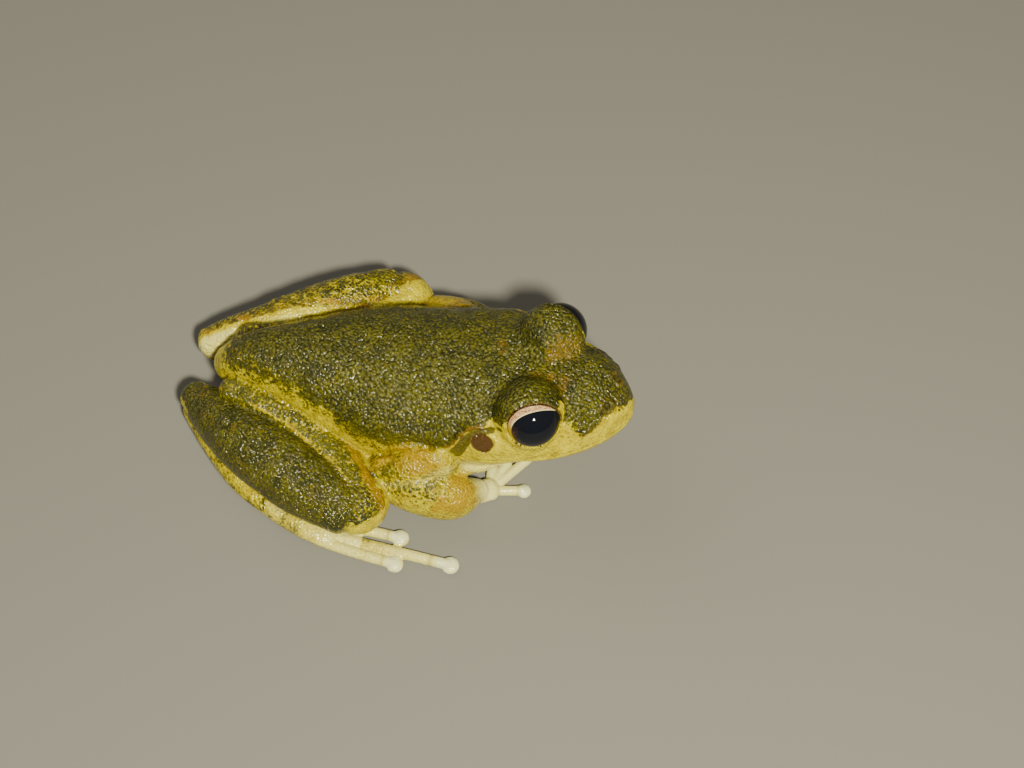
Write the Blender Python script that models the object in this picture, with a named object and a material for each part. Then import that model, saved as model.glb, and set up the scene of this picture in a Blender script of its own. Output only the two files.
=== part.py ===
"""A life-size stream frog at rest, with its hind legs folded along its flanks.

Lengths here are in millimetres and become metres where a mesh is made. The frog
faces +X, its right side is -Y and the floor is z = 0. Every limb is a loft along a
smooth path: a row of a path gives a point, a half-width and half-heights.
"""
import math

import bmesh
import bpy
from mathutils import Matrix, Vector
from mathutils.bvhtree import BVHTree

MILLIMETRE = 0.001
MERGE = 3e-7

# The middle of the frog's box, moved to the origin
BOX_MIDDLE = Vector((19.642, -1.536, 0.0))

RIGHT = -1
LEFT = 1
SIDES = {"right": RIGHT, "left": LEFT}

# The clear gap between neighbouring parts, and a length greater than the whole frog
GAP = 0.3
ROOM = 60.0
CREASE_ANGLE = math.radians(40.0)

# Head: where it starts and how far it is turned to the right
NECK_X = 25.8
HEAD_YAW = math.radians(-7.0)
SNOUT_TIP_X = 41.9

# Places on the head: ahead of the neck, out from its middle, above the floor
EYE_SPOT = (7.4, 4.75, 14.1)
EYE_AXIS = (0.453, 0.785, 0.423)
EYE_RADIUS = 2.65
LID_DEPTH = 0.75
LID_STRETCH = (1.1, 1.1, 1.0)
LID_SHIFT = (-0.2, -0.5, -0.25)
OPENING_START = 0.9
OPENING_RADII = (2.3, 4.6)
OPENING_DEPTH = 3.4
NOSTRIL_SPOT = (13.7, 1.9, 14.5)
NOSTRIL_RADIUS = 0.4
TYMPANUM_SPOT = (3.5, 9.0, 11.7)
TYMPANUM_RADIUS = 0.95
TYMPANUM_DEPTH = 0.5
RECESS_DEPTH = 3.0
MOUTH_CORNER = Vector((29.0, 0.0, 8.9))
MOUTH_RISE = math.radians(10.0)
JAW_INSET = 0.2
JAW_LENGTH = 20.0
JAW_ROOM = 12.0

# Trunk and head in one path: x, y, z of the widest level, half-width, rise, drop
TRUNK_ROWS = (
    (1.5, 0.0, 5.6, 1.6, 2.0, 2.4),
    (2.8, -0.3, 6.2, 2.3, 3.0, 4.2),
    (5.0, -0.5, 7.2, 2.9, 3.9, 6.2),
    (8.0, -0.5, 8.0, 3.95, 4.4, 7.6),
    (12.0, -0.4, 7.9, 5.75, 5.4, 8.1),
    (16.0, -0.3, 7.4, 7.2, 6.3, 7.6),
    (20.0, -0.25, 7.4, 7.75, 6.7, 7.5),
    (24.0, -0.1, 8.2, 7.7, 6.2, 7.0),
    (27.0, 0.0, 9.2, 7.8, 5.6, 6.2),
    (30.0, -0.25, 10.2, 7.9, 4.9, 5.2),
    (33.4, -0.70, 10.9, 7.1, 4.5, 4.2),
)
TRUNK_SQUARENESS = 2.3
TRUNK_CAPS = (0.9, 0.0)
SNOUT_RISE = 0.8
SNOUT_SWING = -0.9
SNOUT_STATIONS = 9

# Hind legs, the left one folded closer to the body: x, distance out, z, half-width, half-height
THIGH_ROWS = {
    RIGHT: (
        (3.0, 3.1, 6.0, 2.2, 2.4),
        (6.0, 4.1, 5.5, 2.8, 3.0),
        (10.0, 5.6, 4.9, 3.1, 3.3),
        (14.0, 8.6, 4.5, 3.1, 3.1),
        (17.2, 12.5, 4.5, 3.15, 2.8),
    ),
    LEFT: (
        (3.0, 2.4, 6.0, 2.2, 2.4),
        (6.0, 3.2, 5.4, 2.7, 3.0),
        (10.0, 4.6, 4.8, 3.0, 3.3),
        (14.0, 7.5, 4.5, 3.0, 3.1),
        (17.2, 11.1, 4.5, 3.15, 2.8),
    ),
}
THIGH_CAPS = (1.6, 2.7)
SHANK_ROWS = {
    RIGHT: (
        (-1.2, 3.3, 4.0, 1.6, 1.7),
        (1.2, 4.9, 4.5, 2.55, 2.2),
        (4.5, 7.0, 5.1, 3.4, 2.8),
        (8.0, 9.1, 5.4, 3.7, 2.9),
        (12.0, 11.2, 5.3, 3.6, 2.9),
        (16.2, 13.0, 4.9, 2.9, 2.6),
    ),
    LEFT: (
        (-1.2, 3.1, 4.0, 1.6, 1.7),
        (1.2, 3.9, 4.7, 2.0, 2.1),
        (4.5, 5.0, 5.4, 2.4, 2.5),
        (8.0, 6.8, 5.8, 2.7, 2.7),
        (12.0, 9.1, 5.8, 2.8, 2.7),
        (15.4, 11.1, 5.3, 2.6, 2.5),
    ),
}
SHANK_CAPS = (1.3, 2.0)
TARSUS_ROWS = {
    RIGHT: (
        (-1.4, 3.8, 2.2, 1.2, 1.3),
        (1.5, 7.0, 1.7, 1.3, 1.35),
        (5.0, 10.3, 1.5, 1.3, 1.3),
        (9.4, 12.8, 1.3, 1.3, 1.1),
    ),
    LEFT: (
        (-1.4, 3.4, 2.2, 1.2, 1.3),
        (1.5, 5.7, 1.7, 1.3, 1.35),
        (5.0, 8.2, 1.5, 1.3, 1.3),
        (9.4, 10.7, 1.3, 1.3, 1.1),
    ),
}
TARSUS_CAPS = (1.0, 0.0)
METATARSUS_ROWS = {
    RIGHT: (
        (9.8, 13.0, 1.15, 1.25, 1.05),
        (12.0, 13.6, 1.05, 1.5, 0.95),
        (14.2, 14.1, 0.9, 1.6, 0.8),
    ),
    LEFT: (
        (9.8, 10.9, 1.15, 1.25, 1.05),
        (12.0, 11.7, 1.05, 1.5, 0.95),
        (14.2, 12.4, 0.9, 1.6, 0.8),
    ),
}
METATARSUS_CAPS = (0.0, 1.2)

# Toes from the innermost out: x and distance out of the root, the bend and the tip
TOE_RADIUS = 0.55
TOE_DISC_RADIUS = 0.9
DISC_FLATNESS = 0.5
DISC_LIFT = 0.45
TOE_PATHS = {
    "right": (
        ((11.0, 12.4), (13.0, 11.2), (14.6, 10.3)),
        ((12.4, 12.9), (15.4, 12.0), (17.8, 11.5)),
        ((13.4, 13.5), (17.6, 13.1), (21.3, 13.3)),
        ((13.8, 14.2), (20.0, 14.7), (26.6, 15.3)),
        ((13.4, 14.9), (17.5, 15.6), (21.3, 16.1)),
    ),
    "left": (
        ((11.0, 10.6), (12.4, 9.2), (13.6, 8.0)),
        ((12.4, 11.0), (14.9, 9.7), (16.8, 8.8)),
        ((13.4, 11.8), (17.2, 10.8), (20.2, 9.8)),
        ((13.8, 12.5), (19.6, 12.1), (25.2, 11.2)),
        ((13.4, 13.1), (17.4, 13.0), (20.9, 12.5)),
    ),
}

# Webs reach past the toes' bends by a share of their last stretch, with a notch between
WEB_PAST_BEND = 0.12
WEB_NOTCH = 0.68
WEB_BOTTOM = 0.2
WEB_TOP = 0.75

# The arms differ a little; distances are out from the middle, as for the legs
UPPER_ARM_ROWS = {
    "right": (
        (24.4, 6.9, 7.5, 2.2, 2.4),
        (21.4, 8.3, 6.1, 2.2, 2.3),
        (18.9, 8.6, 4.8, 1.9, 2.1),
    ),
    "left": (
        (24.6, 6.9, 7.5, 2.2, 2.4),
        (22.6, 8.7, 6.1, 2.2, 2.3),
        (20.8, 9.8, 4.8, 1.9, 2.1),
    ),
}
UPPER_ARM_CAPS = (1.6, 1.6)
FOREARM_ROWS = {
    "right": (
        (18.9, 8.9, 4.2, 2.0, 2.2),
        (22.4, 9.4, 4.1, 2.4, 3.1),
        (25.8, 9.35, 3.2, 2.1, 2.6),
        (27.9, 7.4, 1.7, 1.15, 1.15),
    ),
    "left": (
        (20.8, 10.0, 4.2, 2.0, 2.1),
        (23.6, 9.8, 3.9, 2.3, 2.9),
        (26.0, 9.0, 3.3, 2.1, 2.6),
        (28.0, 7.5, 1.7, 1.15, 1.15),
    ),
}
FOREARM_CAPS = (1.5, 0.8)

# Hands point inwards under the jaw: degrees inwards, fingers from the innermost out
HAND_TURN = {"right": 34.0, "left": 38.0}
WRIST_HALF_WIDTH = 1.1
WRIST_HALF_HEIGHT = 1.05
PALM_LENGTH = 1.2
PALM_HALF_WIDTH = 1.2
PALM_HALF_HEIGHT = 0.85
PALM_CAPS = (0.6, 0.9)
FINGER_RADIUS = 0.5
FINGER_DISC_RADIUS = 0.75
FINGER_TURNS = (62.0, 38.0, 19.0, -24.0)
FINGER_LENGTHS = (4.3, 5.0, 6.4, 3.7)
FINGER_BEND = 0.6
FINGER_OVERLAP = 0.36

# Colours as linear RGB with a roughness
OLIVE = (0.10, 0.085, 0.016, 0.55)
YELLOW = (0.42, 0.33, 0.03, 0.5)
CREAM = (0.62, 0.60, 0.36, 0.5)
BROWN = (0.09, 0.03, 0.012, 0.5)
BLACK = (0.008, 0.009, 0.012, 0.05)


def clear_scene():
    for thing in list(bpy.data.objects):
        bpy.data.objects.remove(thing)


def material(name, colour):
    surface = bpy.data.materials.new(name)
    surface.use_nodes = True
    shader = surface.node_tree.nodes["Principled BSDF"]
    shader.inputs["Base Color"].default_value = (*colour[:3], 1.0)
    shader.inputs["Roughness"].default_value = colour[3]
    shader.inputs["Metallic"].default_value = 0.0
    return surface


def smooth_rows(rows, steps):
    """Rows read from a smooth curve through the given rows, steps to a stretch."""
    spots = [Vector(row[:3]) for row in rows]
    knots = [0.0]
    for first, second in zip(spots, spots[1:]):
        knots.append(knots[-1] + (second - first).length)
    slopes = []
    for index in range(len(rows)):
        low = max(index - 1, 0)
        high = min(index + 1, len(rows) - 1)
        span = knots[high] - knots[low]
        slopes.append([(b - a) / span for a, b in zip(rows[low], rows[high])])
    result = []
    for index in range(len(rows) - 1):
        span = knots[index + 1] - knots[index]
        for step in range(steps):
            t = step / steps
            weights = (
                2 * t ** 3 - 3 * t ** 2 + 1,
                (t ** 3 - 2 * t ** 2 + t) * span,
                3 * t ** 2 - 2 * t ** 3,
                (t ** 3 - t ** 2) * span,
            )
            sources = (rows[index], slopes[index], rows[index + 1], slopes[index + 1])
            result.append([
                sum(weight * value for weight, value in zip(weights, column))
                for column in zip(*sources)
            ])
    result.append(list(rows[-1]))
    return result


def with_both_heights(rows):
    """A limb's rows have one half-height, which serves as both rise and drop."""
    return [(*row[:5], row[4]) for row in rows]


def cap_rows(row, direction, depth, steps):
    """Rows that round off an end, from its rim out to the pole."""
    result = []
    for step in range(1, steps + 1):
        angle = math.pi / 2 * step / steps
        centre = Vector(row[:3]) + direction * depth * math.sin(angle)
        shrink = math.cos(angle)
        result.append([*centre, *(size * shrink for size in row[3:])])
    return result


def loft(rows, ring=20, steps=3, squareness=2.0, caps=(1.0, 1.0), cap_steps=3, grow=0.0, ending=()):
    """A closed bmesh swept along the rows, then along an ending that is used as it is.

    A cap of zero leaves that end flat.
    """
    path = smooth_rows(rows, steps) + [list(row) for row in ending]
    start = (Vector(path[0][:3]) - Vector(path[1][:3])).normalized()
    end = (Vector(path[-1][:3]) - Vector(path[-2][:3])).normalized()
    path = [[*row[:3], *(size + grow for size in row[3:])] for row in path]
    first_cap = []
    last_cap = []
    if caps[0]:
        first_cap = cap_rows(path[0], start, caps[0] + grow, cap_steps)[::-1]
    if caps[1]:
        last_cap = cap_rows(path[-1], end, caps[1] + grow, cap_steps)
    body = first_cap + path + last_cap
    spots = [Vector(row[:3]) for row in body]
    mesh = bmesh.new()
    rings = []
    for index, row in enumerate(body):
        pole = (index == 0 and first_cap) or (index == len(body) - 1 and last_cap)
        if pole:
            rings.append([mesh.verts.new(spots[index])])
            continue
        along = (spots[min(index + 1, len(spots) - 1)] - spots[max(index - 1, 0)]).normalized()
        side = Vector((0, 0, 1)).cross(along).normalized()
        up = along.cross(side)
        corners = []
        for turn in range(ring):
            angle = 2 * math.pi * turn / ring
            across = bulge(math.cos(angle), squareness) * row[3]
            height = bulge(math.sin(angle), squareness)
            height *= row[4] if height > 0 else row[5]
            corners.append(mesh.verts.new(spots[index] + side * across + up * height))
        rings.append(corners)
    for first, second in zip(rings, rings[1:]):
        join_rings(mesh, first, second)
    for flat, corners in ((not first_cap, rings[0]), (not last_cap, rings[-1])):
        if flat:
            mesh.faces.new(corners)
    bmesh.ops.recalc_face_normals(mesh, faces=mesh.faces)
    return mesh


def bulge(value, squareness):
    return math.copysign(abs(value) ** (2 / squareness), value)


def join_rings(mesh, first, second):
    count = max(len(first), len(second))
    for turn in range(count):
        following = (turn + 1) % count
        corners = []
        for ring, place in ((first, turn), (first, following), (second, following), (second, turn)):
            vertex = ring[place % len(ring)]
            if vertex not in corners:
                corners.append(vertex)
        mesh.faces.new(corners)


def to_object(name, mesh, colour=None):
    """A bmesh in millimetres becomes an object in metres, centred on the origin."""
    bmesh.ops.translate(mesh, vec=-BOX_MIDDLE, verts=mesh.verts)
    bmesh.ops.scale(mesh, vec=(MILLIMETRE,) * 3, verts=mesh.verts)
    data = bpy.data.meshes.new(name)
    mesh.to_mesh(data)
    mesh.free()
    thing = bpy.data.objects.new(name, data)
    bpy.context.scene.collection.objects.link(thing)
    if colour:
        data.materials.append(colour)
    return thing


def ball(centre, radius, segments=24, rings=14, stretch=(1, 1, 1), turn=None):
    mesh = bmesh.new()
    bmesh.ops.create_uvsphere(mesh, u_segments=segments, v_segments=rings, radius=radius)
    bmesh.ops.scale(mesh, vec=stretch, verts=mesh.verts)
    place = Matrix.Translation(centre)
    if turn is not None:
        place = place @ turn
    bmesh.ops.transform(mesh, matrix=place, verts=mesh.verts)
    return mesh


def cone(base, direction, near_radius, far_radius, depth, segments=24):
    """A truncated cone that starts at base and widens along direction."""
    mesh = bmesh.new()
    bmesh.ops.create_cone(
        mesh, cap_ends=True, segments=segments, radius1=near_radius, radius2=far_radius, depth=depth
    )
    turn = Vector((0, 0, 1)).rotation_difference(direction).to_matrix().to_4x4()
    middle = Vector(base) + Vector(direction).normalized() * depth / 2
    bmesh.ops.transform(mesh, matrix=Matrix.Translation(middle) @ turn, verts=mesh.verts)
    return mesh


def block(low, high, turn=None):
    mesh = bmesh.new()
    bmesh.ops.create_cube(mesh, size=1.0)
    low = Vector(low)
    high = Vector(high)
    bmesh.ops.scale(mesh, vec=high - low, verts=mesh.verts)
    bmesh.ops.translate(mesh, vec=(low + high) / 2, verts=mesh.verts)
    if turn is not None:
        bmesh.ops.transform(mesh, matrix=turn, verts=mesh.verts)
    return mesh


def combine(target, mesh, operation, solver="EXACT"):
    """Apply one Boolean with a cutter made from a bmesh, then remove the cutter."""
    cutter = to_object("cutter", mesh)
    change = target.modifiers.new("change", "BOOLEAN")
    change.operation = operation
    change.solver = solver
    change.object = cutter
    evaluated = target.evaluated_get(bpy.context.evaluated_depsgraph_get())
    result = bpy.data.meshes.new_from_object(evaluated)
    target.modifiers.remove(change)
    old = target.data
    target.data = result
    bpy.data.meshes.remove(old)
    bpy.data.objects.remove(cutter)


def keep_largest(target):
    """Keep the largest closed surface and drop scraps that a cut leaves."""
    mesh = bmesh.new()
    mesh.from_mesh(target.data)
    bmesh.ops.remove_doubles(mesh, verts=mesh.verts, dist=MERGE)
    groups = []
    waiting = set(mesh.faces)
    while waiting:
        seed = waiting.pop()
        group = {seed}
        front = [seed]
        while front:
            face = front.pop()
            for edge in face.edges:
                for other in edge.link_faces:
                    if other in waiting:
                        waiting.remove(other)
                        group.add(other)
                        front.append(other)
        groups.append(group)
    groups.sort(key=lambda group: sum(face.calc_area() for face in group))
    for group in groups[:-1]:
        bmesh.ops.delete(mesh, geom=list(group), context="FACES")
    bmesh.ops.triangulate(mesh, faces=mesh.faces)
    mesh.to_mesh(target.data)
    mesh.free()


def finish(target, solver="EXACT"):
    """What would sink under the floor makes a small flat on it instead."""
    if min(vertex.co.z for vertex in target.data.vertices) < 0:
        combine(target, block((-ROOM, -ROOM, -ROOM), (ROOM, ROOM, 0)), "DIFFERENCE", solver)
    keep_largest(target)
    target.data.shade_smooth()
    target.data.set_sharp_from_angle(angle=CREASE_ANGLE)


def nearest_on(target, spot):
    """The point of a piece's surface nearest to a spot in millimetres, and its normal."""
    tree = BVHTree.FromObject(target, bpy.context.evaluated_depsgraph_get())
    place = (Vector(spot) - BOX_MIDDLE) * MILLIMETRE
    found, normal, _, _ = tree.find_nearest(place)
    return found / MILLIMETRE + BOX_MIDDLE, normal


def snout_rows():
    """The snout tapers from the last trunk row to its tip by one rounded formula."""
    base = TRUNK_ROWS[-1]
    length = SNOUT_TIP_X - base[0]
    rows = []
    for station in range(1, SNOUT_STATIONS):
        reach = math.sin(math.pi / 2 * station / SNOUT_STATIONS)
        slim = (1 - reach ** 1.3) ** 0.62
        shallow = (1 - reach ** 3.0) ** 0.55
        rows.append((
            base[0] + length * reach,
            base[1] + SNOUT_SWING * reach,
            base[2] + SNOUT_RISE * reach,
            base[3] * slim,
            base[4] * shallow,
            base[5] * shallow,
        ))
    return rows


def mirrored(rows, side):
    return [(row[0], row[1] * side, *row[2:]) for row in rows]


def leg_rows(rows, side):
    return with_both_heights(mirrored(rows[side], side))


def trunk_loft(grow=0.0):
    return loft(
        TRUNK_ROWS, ring=28, steps=2, squareness=TRUNK_SQUARENESS, caps=TRUNK_CAPS,
        grow=grow, ending=snout_rows(),
    )


def thigh_loft(side, grow=0.0):
    rows = leg_rows(THIGH_ROWS, side)
    return loft(rows, ring=18, steps=2, caps=THIGH_CAPS, grow=grow)


def shank_loft(side, grow=0.0):
    rows = leg_rows(SHANK_ROWS, side)
    return loft(rows, ring=18, steps=2, caps=SHANK_CAPS, grow=grow)


def tarsus_loft(side, grow=0.0):
    rows = leg_rows(TARSUS_ROWS, side)
    return loft(rows, ring=12, steps=2, caps=TARSUS_CAPS, grow=grow)


def upper_arm_loft(name, side, grow=0.0):
    rows = with_both_heights(mirrored(UPPER_ARM_ROWS[name], side))
    return loft(rows, ring=16, steps=2, caps=UPPER_ARM_CAPS, grow=grow)


def forearm_loft(name, side, grow=0.0):
    rows = with_both_heights(mirrored(FOREARM_ROWS[name], side))
    return loft(rows, ring=16, steps=2, caps=FOREARM_CAPS, grow=grow)


def head_way(place, side):
    """A direction given ahead, out and up on the head, turned with it."""
    ahead, out, up = place
    return Matrix.Rotation(HEAD_YAW, 3, "Z") @ Vector((ahead, side * out, up))


def head_place(place, side):
    return Vector((NECK_X, 0.0, 0.0)) + head_way(place, side)


def eye_place(side):
    """Centre and outward axis of an eye."""
    return head_place(EYE_SPOT, side), head_way(EYE_AXIS, side).normalized()


def mouth_block(margin):
    """The wedge of the lower jaw: below the mouth's line and in front of its corner."""
    turn = Matrix.Translation(MOUTH_CORNER) @ Matrix.Rotation(-MOUTH_RISE, 4, "Y")
    return block((-margin, -JAW_ROOM, -JAW_ROOM), (JAW_LENGTH, JAW_ROOM, margin), turn)


def make_head(colours):
    head = to_object("head", trunk_loft(), colours["olive"])
    combine(head, block((-ROOM, -ROOM, -ROOM), (NECK_X + GAP / 2, ROOM, ROOM)), "DIFFERENCE")
    turn = Matrix.Rotation(HEAD_YAW, 4, "Z")
    for side in SIDES.values():
        centre = eye_place(side)[0] + head_way(LID_SHIFT, side)
        lids = ball(centre, EYE_RADIUS + LID_DEPTH, 22, 14, LID_STRETCH, turn)
        combine(head, lids, "UNION")
    combine(head, mouth_block(GAP / 2), "DIFFERENCE")
    for side in SIDES.values():
        centre, axis = eye_place(side)
        combine(head, ball(centre, EYE_RADIUS + GAP, 20, 12), "DIFFERENCE")
        opening = cone(centre + axis * OPENING_START, axis, *OPENING_RADII, OPENING_DEPTH, 20)
        combine(head, opening, "DIFFERENCE")
        spot, _ = nearest_on(head, head_place(NOSTRIL_SPOT, side))
        combine(head, ball(spot, NOSTRIL_RADIUS, 10, 6), "DIFFERENCE")
    finish(head)
    return head


def make_lower_jaw(colours):
    jaw = to_object("lower_jaw", trunk_loft(-JAW_INSET), colours["yellow"])
    combine(jaw, mouth_block(-GAP / 2), "INTERSECT")
    finish(jaw)
    return jaw


def make_torso(colours):
    torso = to_object("torso", trunk_loft(), colours["olive"])
    combine(torso, block((NECK_X - GAP / 2, -ROOM, -ROOM), (ROOM, ROOM, ROOM)), "DIFFERENCE")
    finish(torso)
    return torso


def make_eye(name, side, colours):
    centre, axis = eye_place(side)
    turn = Vector((0, 0, 1)).rotation_difference(axis).to_matrix().to_4x4()
    eye = to_object("eye_" + name, ball(centre, EYE_RADIUS, 20, 12, turn=turn), colours["black"])
    finish(eye)
    return eye


def make_thigh(name, side, colours):
    thigh = to_object("thigh_" + name, thigh_loft(side), colours["olive"])
    combine(thigh, trunk_loft(GAP), "DIFFERENCE")
    combine(thigh, shank_loft(side, GAP), "DIFFERENCE")
    finish(thigh)
    return thigh


def make_shank(name, side, colours):
    shank = to_object("shank_" + name, shank_loft(side), colours["olive"])
    combine(shank, trunk_loft(GAP), "DIFFERENCE")
    finish(shank)
    return shank


def make_tarsus(name, side, colours):
    tarsus = to_object("tarsus_" + name, tarsus_loft(side), colours["cream"])
    combine(tarsus, shank_loft(side, GAP), "DIFFERENCE")
    combine(tarsus, thigh_loft(side, GAP), "DIFFERENCE")
    combine(tarsus, trunk_loft(GAP), "DIFFERENCE")
    finish(tarsus)
    return tarsus


def digit(path, radius, disc_radius):
    """A toe or finger: a slim loft on the floor that ends in a flat round disc."""
    rows = [(x, y, radius, radius, radius, radius) for x, y in path]
    slim = loft(rows, ring=8, steps=2, caps=(radius, 0.0), cap_steps=2)
    tip = Vector((*path[-1], DISC_LIFT * disc_radius))
    disc = ball(tip, disc_radius, 12, 6, stretch=(1, 1, DISC_FLATNESS))
    return slim, disc


def web(first, second):
    """A thin web from the roots of two toes to a notched edge between them."""
    near_first = Vector(first[0])
    near_second = Vector(second[0])
    far_first = Vector(first[1]).lerp(Vector(first[2]), WEB_PAST_BEND)
    far_second = Vector(second[1]).lerp(Vector(second[2]), WEB_PAST_BEND)
    notch = ((near_first + near_second) / 2).lerp((far_first + far_second) / 2, WEB_NOTCH)
    outline = [near_first, far_first, notch, far_second, near_second]
    mesh = bmesh.new()
    floor = [mesh.verts.new((*corner, WEB_BOTTOM)) for corner in outline]
    roof = [mesh.verts.new((*corner, WEB_TOP)) for corner in outline]
    mesh.faces.new(floor)
    mesh.faces.new(roof)
    for index in range(len(outline)):
        following = (index + 1) % len(outline)
        mesh.faces.new((floor[index], floor[following], roof[following], roof[index]))
    bmesh.ops.triangulate(mesh, faces=mesh.faces)
    bmesh.ops.recalc_face_normals(mesh, faces=mesh.faces)
    return mesh


def make_foot(name, side, colours):
    rows = leg_rows(METATARSUS_ROWS, side)
    middle = loft(rows, ring=12, steps=2, caps=METATARSUS_CAPS)
    foot = to_object("foot_" + name, middle, colours["cream"])
    paths = [[(x, out * side) for x, out in path] for path in TOE_PATHS[name]]
    for path in paths:
        for mesh in digit(path, TOE_RADIUS, TOE_DISC_RADIUS):
            combine(foot, mesh, "UNION", "MANIFOLD")
    for first, second in zip(paths, paths[1:]):
        combine(foot, web(first, second), "UNION", "MANIFOLD")
    for neighbour in (tarsus_loft, shank_loft, thigh_loft):
        combine(foot, neighbour(side, GAP), "DIFFERENCE", "MANIFOLD")
    finish(foot, "MANIFOLD")
    return foot


def make_upper_arm(name, side, colours):
    arm = to_object("upper_arm_" + name, upper_arm_loft(name, side), colours["yellow"])
    combine(arm, trunk_loft(GAP), "DIFFERENCE")
    combine(arm, thigh_loft(side, GAP), "DIFFERENCE")
    finish(arm)
    return arm


def make_forearm(name, side, colours):
    arm = to_object("forearm_" + name, forearm_loft(name, side), colours["yellow"])
    combine(arm, trunk_loft(GAP), "DIFFERENCE")
    combine(arm, upper_arm_loft(name, side, GAP), "DIFFERENCE")
    combine(arm, thigh_loft(side, GAP), "DIFFERENCE")
    finish(arm)
    return arm


def make_hand(name, side, colours):
    wrist = Vector(mirrored(FOREARM_ROWS[name], side)[-1][:2])
    heading = -side * math.radians(HAND_TURN[name])
    forward = Vector((math.cos(heading), math.sin(heading)))
    palm_end = wrist + forward * PALM_LENGTH
    rows = with_both_heights((
        (*wrist, WRIST_HALF_HEIGHT, WRIST_HALF_WIDTH, WRIST_HALF_HEIGHT),
        (*palm_end, PALM_HALF_HEIGHT, PALM_HALF_WIDTH, PALM_HALF_HEIGHT),
    ))
    hand = to_object("hand_" + name, loft(rows, ring=12, steps=2, caps=PALM_CAPS), colours["cream"])
    for turn, length in zip(FINGER_TURNS, FINGER_LENGTHS):
        angle = heading - side * math.radians(turn)
        reach = Vector((math.cos(angle), math.sin(angle)))
        root = palm_end - reach * FINGER_OVERLAP
        path = [tuple(root + reach * length * share) for share in (0.0, FINGER_BEND, 1.0)]
        for mesh in digit(path, FINGER_RADIUS, FINGER_DISC_RADIUS):
            combine(hand, mesh, "UNION", "MANIFOLD")
    combine(hand, forearm_loft(name, side, GAP), "DIFFERENCE", "MANIFOLD")
    finish(hand, "MANIFOLD")
    return hand


def make_tympanum(name, side, head, colours):
    """A flat disc in a shallow round recess of the head, behind and below the eye."""
    spot, normal = nearest_on(head, head_place(TYMPANUM_SPOT, side))
    recess = TYMPANUM_RADIUS + GAP
    floor = spot - normal * (TYMPANUM_DEPTH + GAP)
    combine(head, cone(floor, normal, recess, recess, RECESS_DEPTH, 20), "DIFFERENCE")
    finish(head)
    plate = cone(floor + normal * GAP, normal, TYMPANUM_RADIUS, TYMPANUM_RADIUS, TYMPANUM_DEPTH, 20)
    disc = to_object("tympanum_" + name, plate, colours["brown"])
    finish(disc)
    return disc


def main():
    clear_scene()
    colours = {
        "olive": material("olive", OLIVE),
        "yellow": material("yellow", YELLOW),
        "cream": material("cream", CREAM),
        "brown": material("brown", BROWN),
        "black": material("black", BLACK),
    }
    make_torso(colours)
    head = make_head(colours)
    make_lower_jaw(colours)
    for name, side in SIDES.items():
        make_eye(name, side, colours)
        make_tympanum(name, side, head, colours)
        make_thigh(name, side, colours)
        make_shank(name, side, colours)
        make_tarsus(name, side, colours)
        make_foot(name, side, colours)
        make_upper_arm(name, side, colours)
        make_forearm(name, side, colours)
        make_hand(name, side, colours)


main()
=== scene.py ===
"""The looks of a life-size stream frog: one skin over its body, wet eyes and soft light.

Shapes are worked out in millimetres in the frog's own frame, with its snout towards +X,
and are moved into the row's frame, in metres, when a mesh is made.
"""
import math

import bpy
import numpy as np
from mathutils import Matrix, Vector, noise
from mathutils.kdtree import KDTree


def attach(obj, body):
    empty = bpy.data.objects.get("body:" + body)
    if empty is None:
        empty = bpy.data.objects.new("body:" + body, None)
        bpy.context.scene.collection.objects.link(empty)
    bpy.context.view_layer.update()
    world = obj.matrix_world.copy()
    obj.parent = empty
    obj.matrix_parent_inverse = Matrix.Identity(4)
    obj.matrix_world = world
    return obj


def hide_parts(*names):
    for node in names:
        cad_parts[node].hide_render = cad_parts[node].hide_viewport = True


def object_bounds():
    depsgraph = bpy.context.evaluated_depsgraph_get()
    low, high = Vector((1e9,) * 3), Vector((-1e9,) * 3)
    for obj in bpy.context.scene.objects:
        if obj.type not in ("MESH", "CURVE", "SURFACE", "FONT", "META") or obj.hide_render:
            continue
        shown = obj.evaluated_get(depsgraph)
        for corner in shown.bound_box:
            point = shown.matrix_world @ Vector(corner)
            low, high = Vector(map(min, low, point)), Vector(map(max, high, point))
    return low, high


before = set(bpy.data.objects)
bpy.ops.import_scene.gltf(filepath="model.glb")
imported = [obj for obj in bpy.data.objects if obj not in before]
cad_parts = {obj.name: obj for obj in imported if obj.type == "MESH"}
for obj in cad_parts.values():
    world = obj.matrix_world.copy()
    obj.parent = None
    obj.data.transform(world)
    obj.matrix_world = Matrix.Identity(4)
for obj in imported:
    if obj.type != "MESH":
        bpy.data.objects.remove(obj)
CAD_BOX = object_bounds()

MILLIMETRE = 0.001
BOX_MIDDLE = np.array((19.642, -1.536, 0.0))
BODY = "root"
RIGHT = -1
LEFT = 1
SIDES = {"right": RIGHT, "left": LEFT}
FAR_AWAY = 99.0

# Driving sizes, as in the solids
SNOUT_TIP_X = 41.9
EYE_RADIUS = 2.65
NECK_X = 25.8
HEAD_YAW = math.radians(-7.0)

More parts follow.
